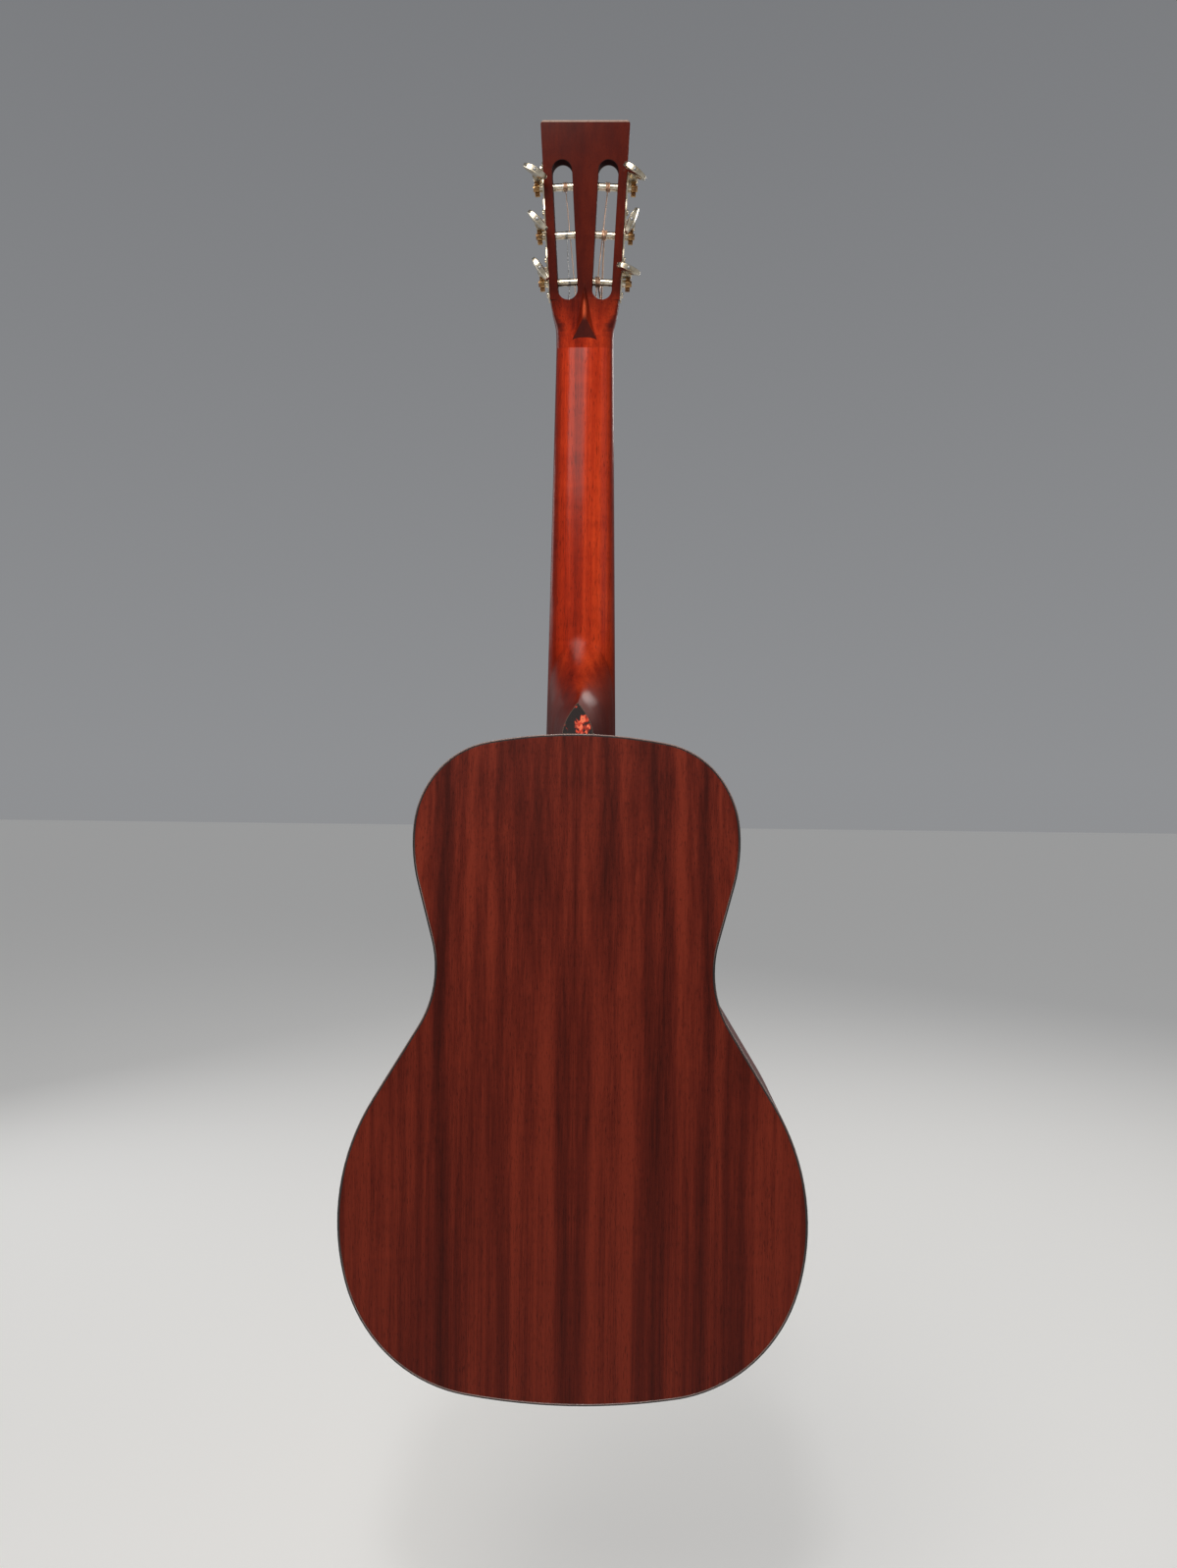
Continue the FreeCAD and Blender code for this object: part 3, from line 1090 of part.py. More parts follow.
for n in range(1, 7):
    side, row = machines[n]
    frame = machine_frame(n)
    # worm shaft
    feature("worm_shaft_%d" % n, worm_solid(side)).Placement = frame.multiply(
        FreeCAD.Placement(V(side * D["gear_out"], 0, D["worm_offset"]),
                          FreeCAD.Rotation(V(0, 0, -1), V(-1, 0, 0), V(0, 1, 0))))
    # button: its plane holds the shaft; local X across, local Y along the shaft
    b = button_body(n, side)
    y_mid = -(-BACK_W - D["roller_depth"]) - D["button_gap"] - D["button_long"] / 2.0
    turn_deg = rest_turn[n] - side * D["head_taper"]
    cut = doc.addObject("Part::Cylinder", "button_%d_bore" % n)
    cut.Radius = 1.2
    cut.Height = 9.0
    cut.Placement = FreeCAD.Placement(V(0, D["button_long"] / 2.0 - 9.0, 0), FreeCAD.Rotation(V(1, 0, 0), -90))
    knob = doc.addObject("Part::Cut", "button_%d_knob" % n)
    knob.Base = b
    knob.Tool = cut
    knob.Placement = frame.multiply(FreeCAD.Placement(V(side * D["gear_out"], y_mid, D["worm_offset"]),
                                                      FreeCAD.Rotation(V(0, 1, 0), turn_deg)))
    b.Label = "button_%d_blank" % n
    label(knob, "tuner_button_%d" % n)
    # roller
    rb = roller_body(n, side)
    hole_at = ROLL_IN - 6.6 - 7.75
    bore_r = doc.addObject("Part::Cylinder", "roller_%d_eye" % n)
    bore_r.Radius = 0.9
    bore_r.Height = 20.0
    bore_r.Placement = FreeCAD.Placement(V(0, -10, hole_at + side * 0), FreeCAD.Rotation(V(1, 0, 0), -90))
    roll = doc.addObject("Part::Cut", "roller_%d_drilled" % n)
    roll.Base = rb
    roll.Tool = bore_r
    if side > 0:
        rot = FreeCAD.Rotation(V(0, 1, 0), V(0, 0, 1), V(1, 0, 0))
    else:
        rot = FreeCAD.Rotation(V(0, 1, 0), V(0, 0, -1), V(-1, 0, 0))
    roll.Placement = frame.multiply(FreeCAD.Placement(V(-side * ROLL_IN, 0, 0), rot))
    rb.Label = "roller_%d_turned_blank" % n
    label(roll, "string_roller_%d" % n)
    # gear with its screw; local Z of the wheel is the roller axis, local Y up
    gb = gear_body(n)
    screw = doc.addObject("Part::Cylinder", "gear_%d_screw_head" % n)
    screw.Radius = 2.3
    screw.Height = 1.2
    screw.Placement = FreeCAD.Placement(V(0, 0, D["gear_wide"] / 2.0), FreeCAD.Rotation())
    nick = doc.addObject("Part::Box", "gear_%d_screw_nick" % n)
    nick.Length = 6.0
    nick.Width = 0.6
    nick.Height = 1.0
    nick.Placement = FreeCAD.Placement(V(-3.0, -0.3, D["gear_wide"] / 2.0 + 0.7), FreeCAD.Rotation())
    cutscrew = doc.addObject("Part::Cut", "gear_%d_screw" % n)
    cutscrew.Base = screw
    cutscrew.Tool = nick
    group = doc.addObject("Part::Compound", "gear_%d_group" % n)
    group.Links = [gb, cutscrew]
    if side > 0:
        rot = FreeCAD.Rotation(V(0, 1, 0), V(0, 0, 1), V(1, 0, 0))
    else:
        rot = FreeCAD.Rotation(V(0, -1, 0), V(0, 0, 1), V(-1, 0, 0))
    group.Placement = frame.multiply(FreeCAD.Placement(V(side * D["gear_out"], 0, 0), rot))
    label(group, "worm_gear_%d" % n)

doc.recompute()

# ---------------------------------------------------------------- check and write
for obj in doc.Objects:
    bad = [w for w in obj.State if w in ("Invalid", "Error")]
    if bad:
        raise RuntimeError("%s is %s" % (obj.Label, bad))
os.makedirs("parts", exist_ok=True)
names = [o.Label for o in nodes]
if len(set(names)) != len(names):
    raise RuntimeError("two sub-parts share a name")
for obj in nodes:
    shape = obj.Shape
    if shape.isNull() or not shape.isValid() or not shape.Solids:
        raise RuntimeError("bad shape: " + obj.Label)
    for s in shape.Solids:
        if s.Volume < 1e-3:
            raise RuntimeError("empty solid in " + obj.Label)
    shape.exportStep(os.path.join("parts", obj.Label + ".step"))
print("nodes written:", len(nodes))
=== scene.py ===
import bpy, bmesh, json, math
from mathutils import Vector, Matrix


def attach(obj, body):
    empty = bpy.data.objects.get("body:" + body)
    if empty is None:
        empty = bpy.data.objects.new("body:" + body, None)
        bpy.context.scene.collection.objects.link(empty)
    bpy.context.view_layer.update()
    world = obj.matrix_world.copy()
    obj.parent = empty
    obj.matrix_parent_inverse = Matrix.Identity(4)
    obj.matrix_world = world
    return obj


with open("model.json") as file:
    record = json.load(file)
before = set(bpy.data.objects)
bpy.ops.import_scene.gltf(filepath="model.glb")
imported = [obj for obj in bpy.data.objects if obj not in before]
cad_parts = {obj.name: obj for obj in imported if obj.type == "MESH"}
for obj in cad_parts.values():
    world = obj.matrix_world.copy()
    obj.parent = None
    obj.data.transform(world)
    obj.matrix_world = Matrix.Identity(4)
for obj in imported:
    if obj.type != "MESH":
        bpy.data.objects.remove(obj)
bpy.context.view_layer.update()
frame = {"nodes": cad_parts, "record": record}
nodes = frame["nodes"]

MM = 0.001
# ------------------------------------------------------------------ head and machine frames
HEAD_Z = 0.32225


def rot_x(a):
    return Matrix.Rotation(math.radians(a), 4, "X")


def rot_y(a):
    return Matrix.Rotation(math.radians(a), 4, "Y")


HEAD = Matrix.Translation((0, 0, HEAD_Z)) @ rot_x(15.0)
MACHINES = {1: (-1, 0), 2: (-1, 1), 3: (-1, 2), 4: (1, 2), 5: (1, 1), 6: (1, 0)}
GAUGE = {1: 0.33, 2: 0.43, 3: 0.61, 4: 0.81, 5: 1.07, 6: 1.35}
WIND_X = {1: -12.0, 2: -14.5, 3: -15.5, 4: 17.4, 5: 14.8, 6: 10.0}


def head_half(v):
    return 27.55 + (v - 28.0) * math.tan(math.radians(3.0))


def machine(n):
    side, row = MACHINES[n]
    v = 40.0 + 34.0 * row
    return HEAD @ Matrix.Translation((side * head_half(v) * MM, -9.4 * MM, v * MM)) @ rot_y(side * 3.0)


# ------------------------------------------------------------------ materials
def new_mat(name):
    m = bpy.data.materials.new(name)
    m.use_nodes = True
    nt = m.node_tree
    nt.nodes.clear()
    out = nt.nodes.new("ShaderNodeOutputMaterial")
    bsdf = nt.nodes.new("ShaderNodeBsdfPrincipled")
    nt.links.new(bsdf.outputs[0], out.inputs[0])
    return m, nt, bsdf


class Net:
    """Short names for building node networks."""

    def __init__(self, name):
        self.mat, self.nt, self.bsdf = new_mat(name)

    def node(self, kind, **props):
        n = self.nt.nodes.new(kind)
        for k, v in props.items():
            setattr(n, k, v)
        return n

    def link(self, a, b):
        self.nt.links.new(a, b)

    def coords(self, scale=(1, 1, 1), loc=(0, 0, 0), rot=(0, 0, 0), mirror_x=False):
        tc = self.node("ShaderNodeTexCoord")
        src = tc.outputs["Object"]
        if mirror_x:
            sep = self.node("ShaderNodeSeparateXYZ")
            self.link(src, sep.inputs[0])
            ab = self.node("ShaderNodeMath", operation="ABSOLUTE")
            self.link(sep.outputs[0], ab.inputs[0])
            com = self.node("ShaderNodeCombineXYZ")
            self.link(ab.outputs[0], com.inputs[0])
            self.link(sep.outputs[1], com.inputs[1])
            self.link(sep.outputs[2], com.inputs[2])
            src = com.outputs[0]
        mp = self.node("ShaderNodeMapping")
        mp.inputs["Scale"].default_value = scale
        mp.inputs["Location"].default_value = loc
        mp.inputs["Rotation"].default_value = rot
        self.link(src, mp.inputs[0])
        return mp.outputs[0]

    def noise(self, vec, scale=5.0, detail=4.0, rough=0.5, distort=0.0):
        n = self.node("ShaderNodeTexNoise")
        n.inputs["Scale"].default_value = scale
        n.inputs["Detail"].default_value = detail
        n.inputs["Roughness"].default_value = rough
        n.inputs["Distortion"].default_value = distort
        self.link(vec, n.inputs["Vector"])
        return n.outputs["Fac"]

    def ramp(self, fac, stops, interp="LINEAR"):
        r = self.node("ShaderNodeValToRGB")
        r.color_ramp.interpolation = interp
        el = r.color_ramp.elements
        while len(el) < len(stops):
            el.new(0.5)
        for e, (p, c) in zip(el, stops):
            e.position = p
            e.color = (c[0], c[1], c[2], 1.0) if not isinstance(c, float) else (c, c, c, 1.0)
        self.link(fac, r.inputs[0])
        return r.outputs[0]

    def mix(self, fac, a, b, mode="MIX"):
        n = self.node("ShaderNodeMix", data_type="RGBA", blend_type=mode)
        if isinstance(fac, float):
            n.inputs[0].default_value = fac
        else:
            self.link(fac, n.inputs[0])
        for sock, val in ((n.inputs[6], a), (n.inputs[7], b)):
            if isinstance(val, tuple):
                sock.default_value = (val[0], val[1], val[2], 1.0)
            else:
                self.link(val, sock)
        return n.outputs[2]

    def math(self, op, a, b=None):
        n = self.node("ShaderNodeMath", operation=op)
        for sock, val in ((n.inputs[0], a), (n.inputs[1], b)):
            if val is None:
                continue
            if isinstance(val, (float, int)):
                sock.default_value = float(val)
            else:
                self.link(val, sock)
        return n.outputs[0]

    def span(self, fac, lo, hi, out_lo=0.0, out_hi=1.0):
        n = self.node("ShaderNodeMapRange")
        self.link(fac, n.inputs[0])
        n.inputs[1].default_value = lo
        n.inputs[2].default_value = hi
        n.inputs[3].default_value = out_lo
        n.inputs[4].default_value = out_hi
        return n.outputs[0]

    def bump(self, height, strength=0.2, distance=0.0002, normal=None):
        b = self.node("ShaderNodeBump")
        b.inputs["Strength"].default_value = strength
        b.inputs["Distance"].default_value = distance
        self.link(height, b.inputs["Height"])
        if normal is not None:
            self.link(normal, b.inputs["Normal"])
        return b.outputs[0]

    def set(self, **vals):
        names = {"base": "Base Color", "metal": "Metallic", "rough": "Roughness", "ior": "IOR", "coat": "Coat Weight",
                 "coat_rough": "Coat Roughness", "spec": "Specular IOR Level", "sub": "Subsurface Weight",
                 "normal": "Normal", "coat_normal": "Coat Normal", "aniso": "Anisotropic", "sheen": "Sheen Weight"}
        for k, v in vals.items():
            sock = self.bsdf.inputs[names[k]]
            if isinstance(v, tuple):
                sock.default_value = (v[0], v[1], v[2], 1.0)
            elif isinstance(v, (int, float)):
                sock.default_value = float(v)
            else:
                self.link(v, sock)
        return self.mat


def srgb(r, g, b):
    def f(c):
        c = c / 255.0
        return c / 12.92 if c <= 0.04045 else ((c + 0.055) / 1.055) ** 2.4
    return (f(r), f(g), f(b))


def heel_blend(k, radius):
    """Edge radius for the neck: small everywhere, large where the shaft runs into the heel."""
    tc = k.node("ShaderNodeTexCoord")
    sep = k.node("ShaderNodeSeparateXYZ")
    k.link(tc.outputs["Object"], sep.inputs[0])
    near = k.math("MULTIPLY", k.span(sep.outputs[2], 0.026, 0.034, 0.0, 1.0), k.span(sep.outputs[2], 0.120, 0.105, 0.0, 1.0))
    return k.math("ADD", radius, k.math("MULTIPLY", near, 0.007))


def soft_edges(k, radius, normal=None):
    """Normal that rolls over sharp edges, as sanded wood and moulded metal do."""
    b = k.node("ShaderNodeBevel", samples=4)
    if hasattr(radius, "is_output"):
        k.link(radius, b.inputs["Radius"])
    else:
        b.inputs["Radius"].default_value = radius
    return b.outputs[0]


def edge_mask(k, radius, lo=0.03, hi=0.22):
    """1 along outer edges, fading within radius of them."""
    g = k.node("ShaderNodeNewGeometry")
    d = k.node("ShaderNodeVectorMath", operation="DOT_PRODUCT")
    k.link(soft_edges(k, radius), d.inputs[0])
    k.link(g.outputs["True Normal"], d.inputs[1])
    return k.span(d.outputs["Value"], 1.0 - lo, 1.0 - hi, 0.0, 1.0)


def back_bands(k, x):
    """Darker and lighter ribbons that run down the two halves of the back: place, width, strength."""
    total = None
    for (c, w, a) in ((-98, 7, -0.30), (-36, 10, -0.20), (-7, 5, -0.10), (24, 8, -0.15), (62, 9, -0.30), (95, 6, -0.12),
                      (120, 7, -0.28), (-138, 8, -0.10), (-110, 7, 0.14), (-64, 7, 0.13), (-21, 6, 0.10), (13, 7, 0.12),
                      (36, 5, 0.10), (77, 7, 0.16), (106, 6, 0.12), (150, 12, 0.12), (-155, 10, 0.10)):
        d = k.math("DIVIDE", k.math("SUBTRACT", x, c * MM), w * MM)
        g = k.math("MULTIPLY", k.math("EXPONENT", k.math("MULTIPLY", k.math("MULTIPLY", d, d), -1.0)), a)
        total = g if total is None else k.math("ADD", total, g)
    return total


def wood(name, dark, mid, light, bands=1.0, rough=0.42, coat=0.0, coat_rough=0.1, pore=0.5, mirror=False,
         axis_scale=(1.0, 1.0, 1.0), shift=(0, 0, 0), rot=(0, 0, 0), pore_dark=0.55, figure=0.25, edge=0.0,
         shade=None, spec=0.4, broad_w=0.5, fine_w=0.34, ribbons=None, paint_light=None, blend=None):
    """Straight-grained hardwood, grain along Z: broad ribbons, fine ribbons, pores and a slight cross figure."""
    k = Net(name)
    ax, ay, az = axis_scale
    broad = k.noise(k.coords((30 * ax, 26 * ay, 0.55 * az), shift, rot, mirror), 1.0, 2.0, 0.5, 0.12)
    ribbon = k.noise(k.coords((95 * ax, 80 * ay, 1.1 * az), shift, rot, mirror), 1.0, 3.0, 0.5, 0.10)
    fine = k.noise(k.coords((330 * ax, 240 * ay, 3.4 * az), shift, rot, mirror), 1.0, 4.0, 0.6, 0.15)
    silk = k.noise(k.coords((1300 * ax, 900 * ay, 22 * az), shift, rot, mirror), 1.0, 2.0, 0.5, 0.0)
    cross = k.noise(k.coords((26 * ax, 26 * ay, 75 * az), shift, rot, mirror), 1.0, 2.0, 0.5, 0.6)
    mixd = k.math("ADD", k.math("MULTIPLY", broad, broad_w * bands), k.math("MULTIPLY", ribbon, 0.30))
    mixd = k.math("ADD", mixd, k.math("MULTIPLY", fine, fine_w * 0.5))
    mixd = k.math("ADD", mixd, k.math("MULTIPLY", silk, 0.10))
    total = broad_w * bands + 0.30 + fine_w * 0.5 + 0.10
    mixd = k.math("DIVIDE", mixd, total)
    mixd = k.math("ADD", mixd, k.math("MULTIPLY", k.math("SUBTRACT", cross, 0.5), figure * 0.25))
    if ribbons:
        tc = k.node("ShaderNodeTexCoord")
        sep = k.node("ShaderNodeSeparateXYZ")
        k.link(tc.outputs["Object"], sep.inputs[0])
        sway = k.noise(k.coords((3, 3, 5)), 1.0, 2.0, 0.5, 0.0)
        x = k.math("ADD", sep.outputs[0], k.math("MULTIPLY", k.math("SUBTRACT", sway, 0.5), 0.010))
        mixd = k.math("ADD", mixd, k.math("MULTIPLY", ribbons(k, x), 0.24))
    col = k.ramp(mixd, [(0.38, dark), (0.50, mid), (0.62, light)])
    # painted shade and highlights, from the function given for them
    if paint_light is not None:
        col = paint_light(k, col)
    # pores: short dark strokes along the grain
    p = k.noise(k.coords((2600 * ax, 2200 * ay, 170 * az), shift, rot, mirror), 1.0, 1.0, 0.5, 0.0)
    pores = k.span(p, 0.60, 0.68, 0.0, 1.0)
    col = k.mix(k.math("MULTIPLY", pores, pore_dark), col, tuple(c * 0.3 for c in dark), "MIX")
    shade_and_dull = None
    # painted shade: where the mask is 1 the wood is painted nearly black; the same mask also roughens the wood there
    if shade is not None:
        shade_and_dull = shade(k)
        col = k.mix(shade_and_dull, col, tuple(c * 0.16 for c in dark), "MIX")
    h = k.math("SUBTRACT", k.math("MULTIPLY", silk, 0.3), k.math("MULTIPLY", pores, pore))
    if edge:
        nrm = k.bump(h, 0.35, 0.00012, soft_edges(k, blend(k, edge) if blend else edge))
    else:
        nrm = k.bump(h, 0.35, 0.00012)
    rg = k.span(fine, 0.3, 0.7, rough * 0.88, rough * 1.12)
    if shade_and_dull is not None:
        rg = k.math("ADD", rg, k.math("MULTIPLY", shade_and_dull, 0.5))
    k.set(base=col, rough=rg, normal=nrm, coat=coat, coat_rough=coat_rough, ior=1.5, spec=spec)
    if shade_and_dull is not None and coat:
        # the finish is rubbed down in the slots and at the foot of the heel
        tc = k.node("ShaderNodeTexCoord")
        sep = k.node("ShaderNodeSeparateXYZ")
        k.link(tc.outputs["Object"], sep.inputs[0])
        foot = k.span(sep.outputs[2], 0.022, 0.036, 0.12, 1.0)
        wide = k.span(k.math("ABSOLUTE", sep.outputs[0]), 0.009, 0.018, 1.0, 0.2)
        high = k.span(sep.outputs[2], 0.060, 0.100, 0.0, 1.0)
        keep = k.math("MULTIPLY", foot, k.math("MAXIMUM", wide, high))
        k.set(coat=k.math("MULTIPLY", k.math("MULTIPLY", k.math("SUBTRACT", 1.0, shade_and_dull), coat), keep))
    if coat:
        wav = k.noise(k.coords((60, 60, 18)), 1.0, 2.0, 0.5, 0.0)
        k.set(coat_normal=k.bump(wav, 0.10, 0.0006, soft_edges(k, blend(k, edge) if blend else edge) if edge else None))
    return k.mat


def head_shade_and_highlights(k, col):
    """Painted shade and highlights on the neck: the head painted darker than the neck, painted shade under the dart, on
    the sides and on the heel, a painted highlight along the dart's ridge and a pale painted highlight along the top
    edge of the head.
    """
    tc = k.node("ShaderNodeTexCoord")
    mp = k.node("ShaderNodeMapping", vector_type="TEXTURE")
    mp.inputs["Location"].default_value = (0.0, 0.0, HEAD_Z)
    mp.inputs["Rotation"].default_value = (math.radians(15.0), 0.0, 0.0)
    k.link(tc.outputs["Object"], mp.inputs[0])
    sep = k.node("ShaderNodeSeparateXYZ")
    k.link(mp.outputs[0], sep.inputs[0])
    v = sep.outputs[2]
    # painted shade: the head is painted darker than the neck
    col = k.mix(k.span(v, 0.004, 0.034, 0.0, 0.90), col, srgb(46, 11, 6), "MIX")
    g = k.node("ShaderNodeNewGeometry")
    gs = k.node("ShaderNodeSeparateXYZ")
    k.link(g.outputs["True Normal"], gs.inputs[0])
    # painted shade on surfaces that face down, such as the lower face of the dart
    under = k.math("MULTIPLY", k.span(k.math("MULTIPLY", gs.outputs[2], -1.0), 0.42, 0.58, 0.0, 0.86),
                   k.span(v, -0.02, -0.012, 0.0, 1.0))
    col = k.mix(under, col, srgb(52, 14, 8), "MIX")
    # painted shade: surfaces that face sideways, such as the sides of the shaft towards the fretboard, are painted
    # darker
    side = k.math("ABSOLUTE", gs.outputs[0])
    col = k.mix(k.span(side, 0.45, 0.98, 0.0, 0.75), col, srgb(58, 14, 7), "MIX")
    oc = k.node("ShaderNodeSeparateXYZ")
    k.link(tc.outputs["Object"], oc.inputs[0])
    # painted shade: the heel is painted darker towards the body
    heel = k.math("MULTIPLY", k.span(oc.outputs[2], 0.075, 0.020, 0.0, 1.0), 0.72)
    col = k.mix(heel, col, srgb(70, 16, 8), "MIX")
    # painted highlight: a bright orange line along the ridge of the dart
    ridge = k.math("MULTIPLY", k.span(k.math("ABSOLUTE", oc.outputs[0]), 0.0004, 0.0020, 1.0, 0.0),
                   k.math("MULTIPLY", k.span(oc.outputs[2], 0.327, 0.333, 0.0, 1.0),
                          k.span(oc.outputs[2], 0.344, 0.336, 0.0, 1.0)))
    col = k.mix(k.math("MULTIPLY", ridge, 0.8), col, srgb(226, 98, 58), "MIX")
    # painted highlight: a pale line along the top edge of the head
    rim_highlight = k.math("MULTIPLY", k.span(v, 0.1510, 0.1518, 0.0, 1.0), k.span(gs.outputs[2], 0.50, 0.80, 0.75, 0.12))
    return k.mix(rim_highlight, col, srgb(176, 150, 136), "MIX")


def slot_shade(k):
    """1 on the walls of the two slots in the head, 0 elsewhere: painted shade in the slots."""
    tc = k.node("ShaderNodeTexCoord")
    mp = k.node("ShaderNodeMapping", vector_type="TEXTURE")
    mp.inputs["Location"].default_value = (0.0, 0.0, HEAD_Z)
    mp.inputs["Rotation"].default_value = (math.radians(15.0), 0.0, 0.0)
    k.link(tc.outputs["Object"], mp.inputs[0])
    sep = k.node("ShaderNodeSeparateXYZ")
    k.link(mp.outputs[0], sep.inputs[0])
    u = k.math("ABSOLUTE", sep.outputs[0])
    v = sep.outputs[2]
    t3 = math.tan(math.radians(3.0))
    line = k.math("ADD", k.math("MULTIPLY", k.math("SUBTRACT", v, 0.0765), t3), 0.0156)
    du = k.math("ABSOLUTE", k.math("SUBTRACT", u, line))
    dv = k.math("SUBTRACT", k.math("ABSOLUTE", k.math("SUBTRACT", v, 0.0765)), 0.0495 - 0.00775)
    dv = k.math("MAXIMUM", dv, 0.0)
    dist = k.math("SQRT", k.math("ADD", k.math("MULTIPLY", du, du), k.math("MULTIPLY", dv, dv)))
    inside = k.span(dist, 0.00795, 0.0081, 1.0, 0.0)
    deep = k.span(sep.outputs[1], -0.0186, -0.0176, 0.0, 1.0)
    return k.math("MULTIPLY", k.math("MULTIPLY", inside, deep), 0.93)


M = {}
M["mahogany_back"] = wood("mahogany_back", srgb(62, 17, 10), srgb(91, 28, 17), srgb(118, 41, 25), bands=0.18,
                          rough=0.5, mirror=True, shift=(0.31, 0.0, 0.0), pore=0.6, edge=0.0009, spec=0.1, figure=0.16, broad_w=0.34, fine_w=0.24,
                          pore_dark=0.5, ribbons=back_bands)
M["mahogany_side"] = wood("mahogany_side", srgb(62, 16, 9), srgb(88, 26, 15), srgb(114, 38, 22), bands=1.0, rough=0.46,
                          axis_scale=(0.6, 1.6, 1.0), shift=(0.3, 0.2, 0.1), pore=0.6, edge=0.0009, spec=0.2)
M["mahogany_neck"] = wood("mahogany_neck", srgb(96, 18, 6), srgb(156, 40, 14), srgb(200, 64, 26), bands=0.7,
                          rough=0.50, coat=0.26, coat_rough=0.17, pore=0.5, shift=(0.07, 0.0, 0.4), pore_dark=0.6,
                          edge=0.0007, shade=slot_shade, spec=0.02, figure=0.4, paint_light=head_shade_and_highlights, blend=heel_blend)
M["mahogany_block"] = wood("mahogany_block", srgb(120, 72, 50), srgb(152, 98, 70), srgb(176, 120, 88), rough=0.7)
M["spruce_brace"] = wood("spruce_brace", srgb(196, 160, 112), srgb(214, 184, 138), srgb(228, 204, 162), rough=0.7,
                         pore=0.1, pore_dark=0.1)
M["ebony"] = wood("ebony", srgb(14, 11, 10), srgb(24, 19, 16), srgb(40, 32, 27), rough=0.58, pore=0.4, pore_dark=0.3,
                  bands=0.8, edge=0.0004, spec=0.12)
M["rosewood"] = wood("rosewood", srgb(36, 15, 10), srgb(66, 30, 20), srgb(98, 52, 35), bands=1.3, rough=0.35,
                     coat=0.8, coat_rough=0.08, edge=0.0004)


def spruce_top():
    k = Net("spruce_top")
    base = k.noise(k.coords((10, 10, 0.7), mirror_x=True), 1.0, 3.0, 0.5, 0.1)
    # growth rings: evenly spaced darker lines along the grain, closer toward the seam
    tc = k.coords((1, 1, 0.010), mirror_x=True)
    wv = k.node("ShaderNodeTexWave", wave_type="BANDS", bands_direction="X", wave_profile="SAW")
    wv.inputs["Scale"].default_value = 210.0
    wv.inputs["Distortion"].default_value = 1.4
    wv.inputs["Detail"].default_value = 2.0
    wv.inputs["Detail Scale"].default_value = 1.2
    k.link(tc, wv.inputs["Vector"])
    rings = k.span(wv.outputs["Fac"], 0.55, 1.0, 0.0, 1.0)
    silk = k.noise(k.coords((70, 70, 420), mirror_x=True), 1.0, 2.0, 0.5, 0.4)
    fibre = k.noise(k.coords((1800, 1200, 30), mirror_x=True), 1.0, 2.0, 0.5, 0.0)
    col = k.ramp(base, [(0.35, srgb(206, 160, 98)), (0.65, srgb(222, 180, 118))])
    col = k.mix(k.math("MULTIPLY", rings, 0.42), col, srgb(164, 112, 60), "MIX")
    col = k.mix(k.span(silk, 0.52, 0.72, 0.0, 0.22), col, srgb(236, 206, 156), "MIX")
    col = k.mix(k.span(fibre, 0.4, 0.6, 0.0, 0.12), col, srgb(150, 100, 55), "MIX")
    h = k.math("ADD", k.math("MULTIPLY", rings, 0.5), k.math("MULTIPLY", fibre, 0.25))
    return k.set(base=col, rough=0.4, normal=k.bump(h, 0.2, 0.0001), coat=0.35, coat_rough=0.22)


M["spruce_top"] = spruce_top()


def tortoise(name, scale=1.0, flame=False):
    k = Net(name)
    n1 = k.noise(k.coords((60 * scale, 60 * scale, 48 * scale), (0.137, 0.02, 0.055)), 1.0, 3.0, 0.55, 1.6)
    n2 = k.noise(k.coords((300 * scale, 300 * scale, 220 * scale), (0.4, 0.1, 0.2)), 1.0, 2.0, 0.5, 0.6)
    if flame:
        # patches placed in the cap's own plane: a flame low and right of centre, a small spot near the point
        swirl = k.noise(k.coords((210, 60, 150), (0.61, 0.02, 0.25)), 1.0, 2.0, 0.5, 1.2)
        tc = k.node("ShaderNodeTexCoord")
        sep = k.node("ShaderNodeSeparateXYZ")
        k.link(tc.outputs["Object"], sep.inputs[0])

        def blob(cx, cz, rx, rz):
            dx = k.math("DIVIDE", k.math("SUBTRACT", sep.outputs[0], cx), rx)
            dz = k.math("DIVIDE", k.math("SUBTRACT", sep.outputs[2], cz), rz)
            return k.math("ADD", k.math("MULTIPLY", dx, dx), k.math("MULTIPLY", dz, dz))

        d = k.math("MINIMUM", blob(0.0030, 0.0062, 0.0058, 0.0078), blob(-0.0008, 0.0195, 0.0010, 0.0012))
        n1 = k.math("ADD", k.span(d, 0.2, 1.5, 0.66, 0.30), k.math("MULTIPLY", k.math("SUBTRACT", swirl, 0.5), 1.5))
    col = k.ramp(n1, [(0.46, srgb(34, 23, 19)), (0.54, srgb(110, 30, 14)), (0.62, srgb(214, 62, 34)),
                      (0.76, srgb(250, 122, 84))])
    col = k.mix(k.span(n2, 0.56, 0.72, 0.0, 0.5), col, srgb(30, 20, 17), "MIX")
    if flame:
        # painted highlight: a pale cream line along the edges of the cap
        col = k.mix(k.math("MULTIPLY", edge_mask(k, 0.0006), 0.7), col, srgb(196, 168, 140), "MIX")
    return k.set(base=col, rough=0.22, coat=0.8, coat_rough=0.06,
                 normal=soft_edges(k, 0.0004))


M["tortoise"] = tortoise("tortoise", 1.0)
M["tortoise_cap"] = tortoise("tortoise_cap", 1.0, flame=True)


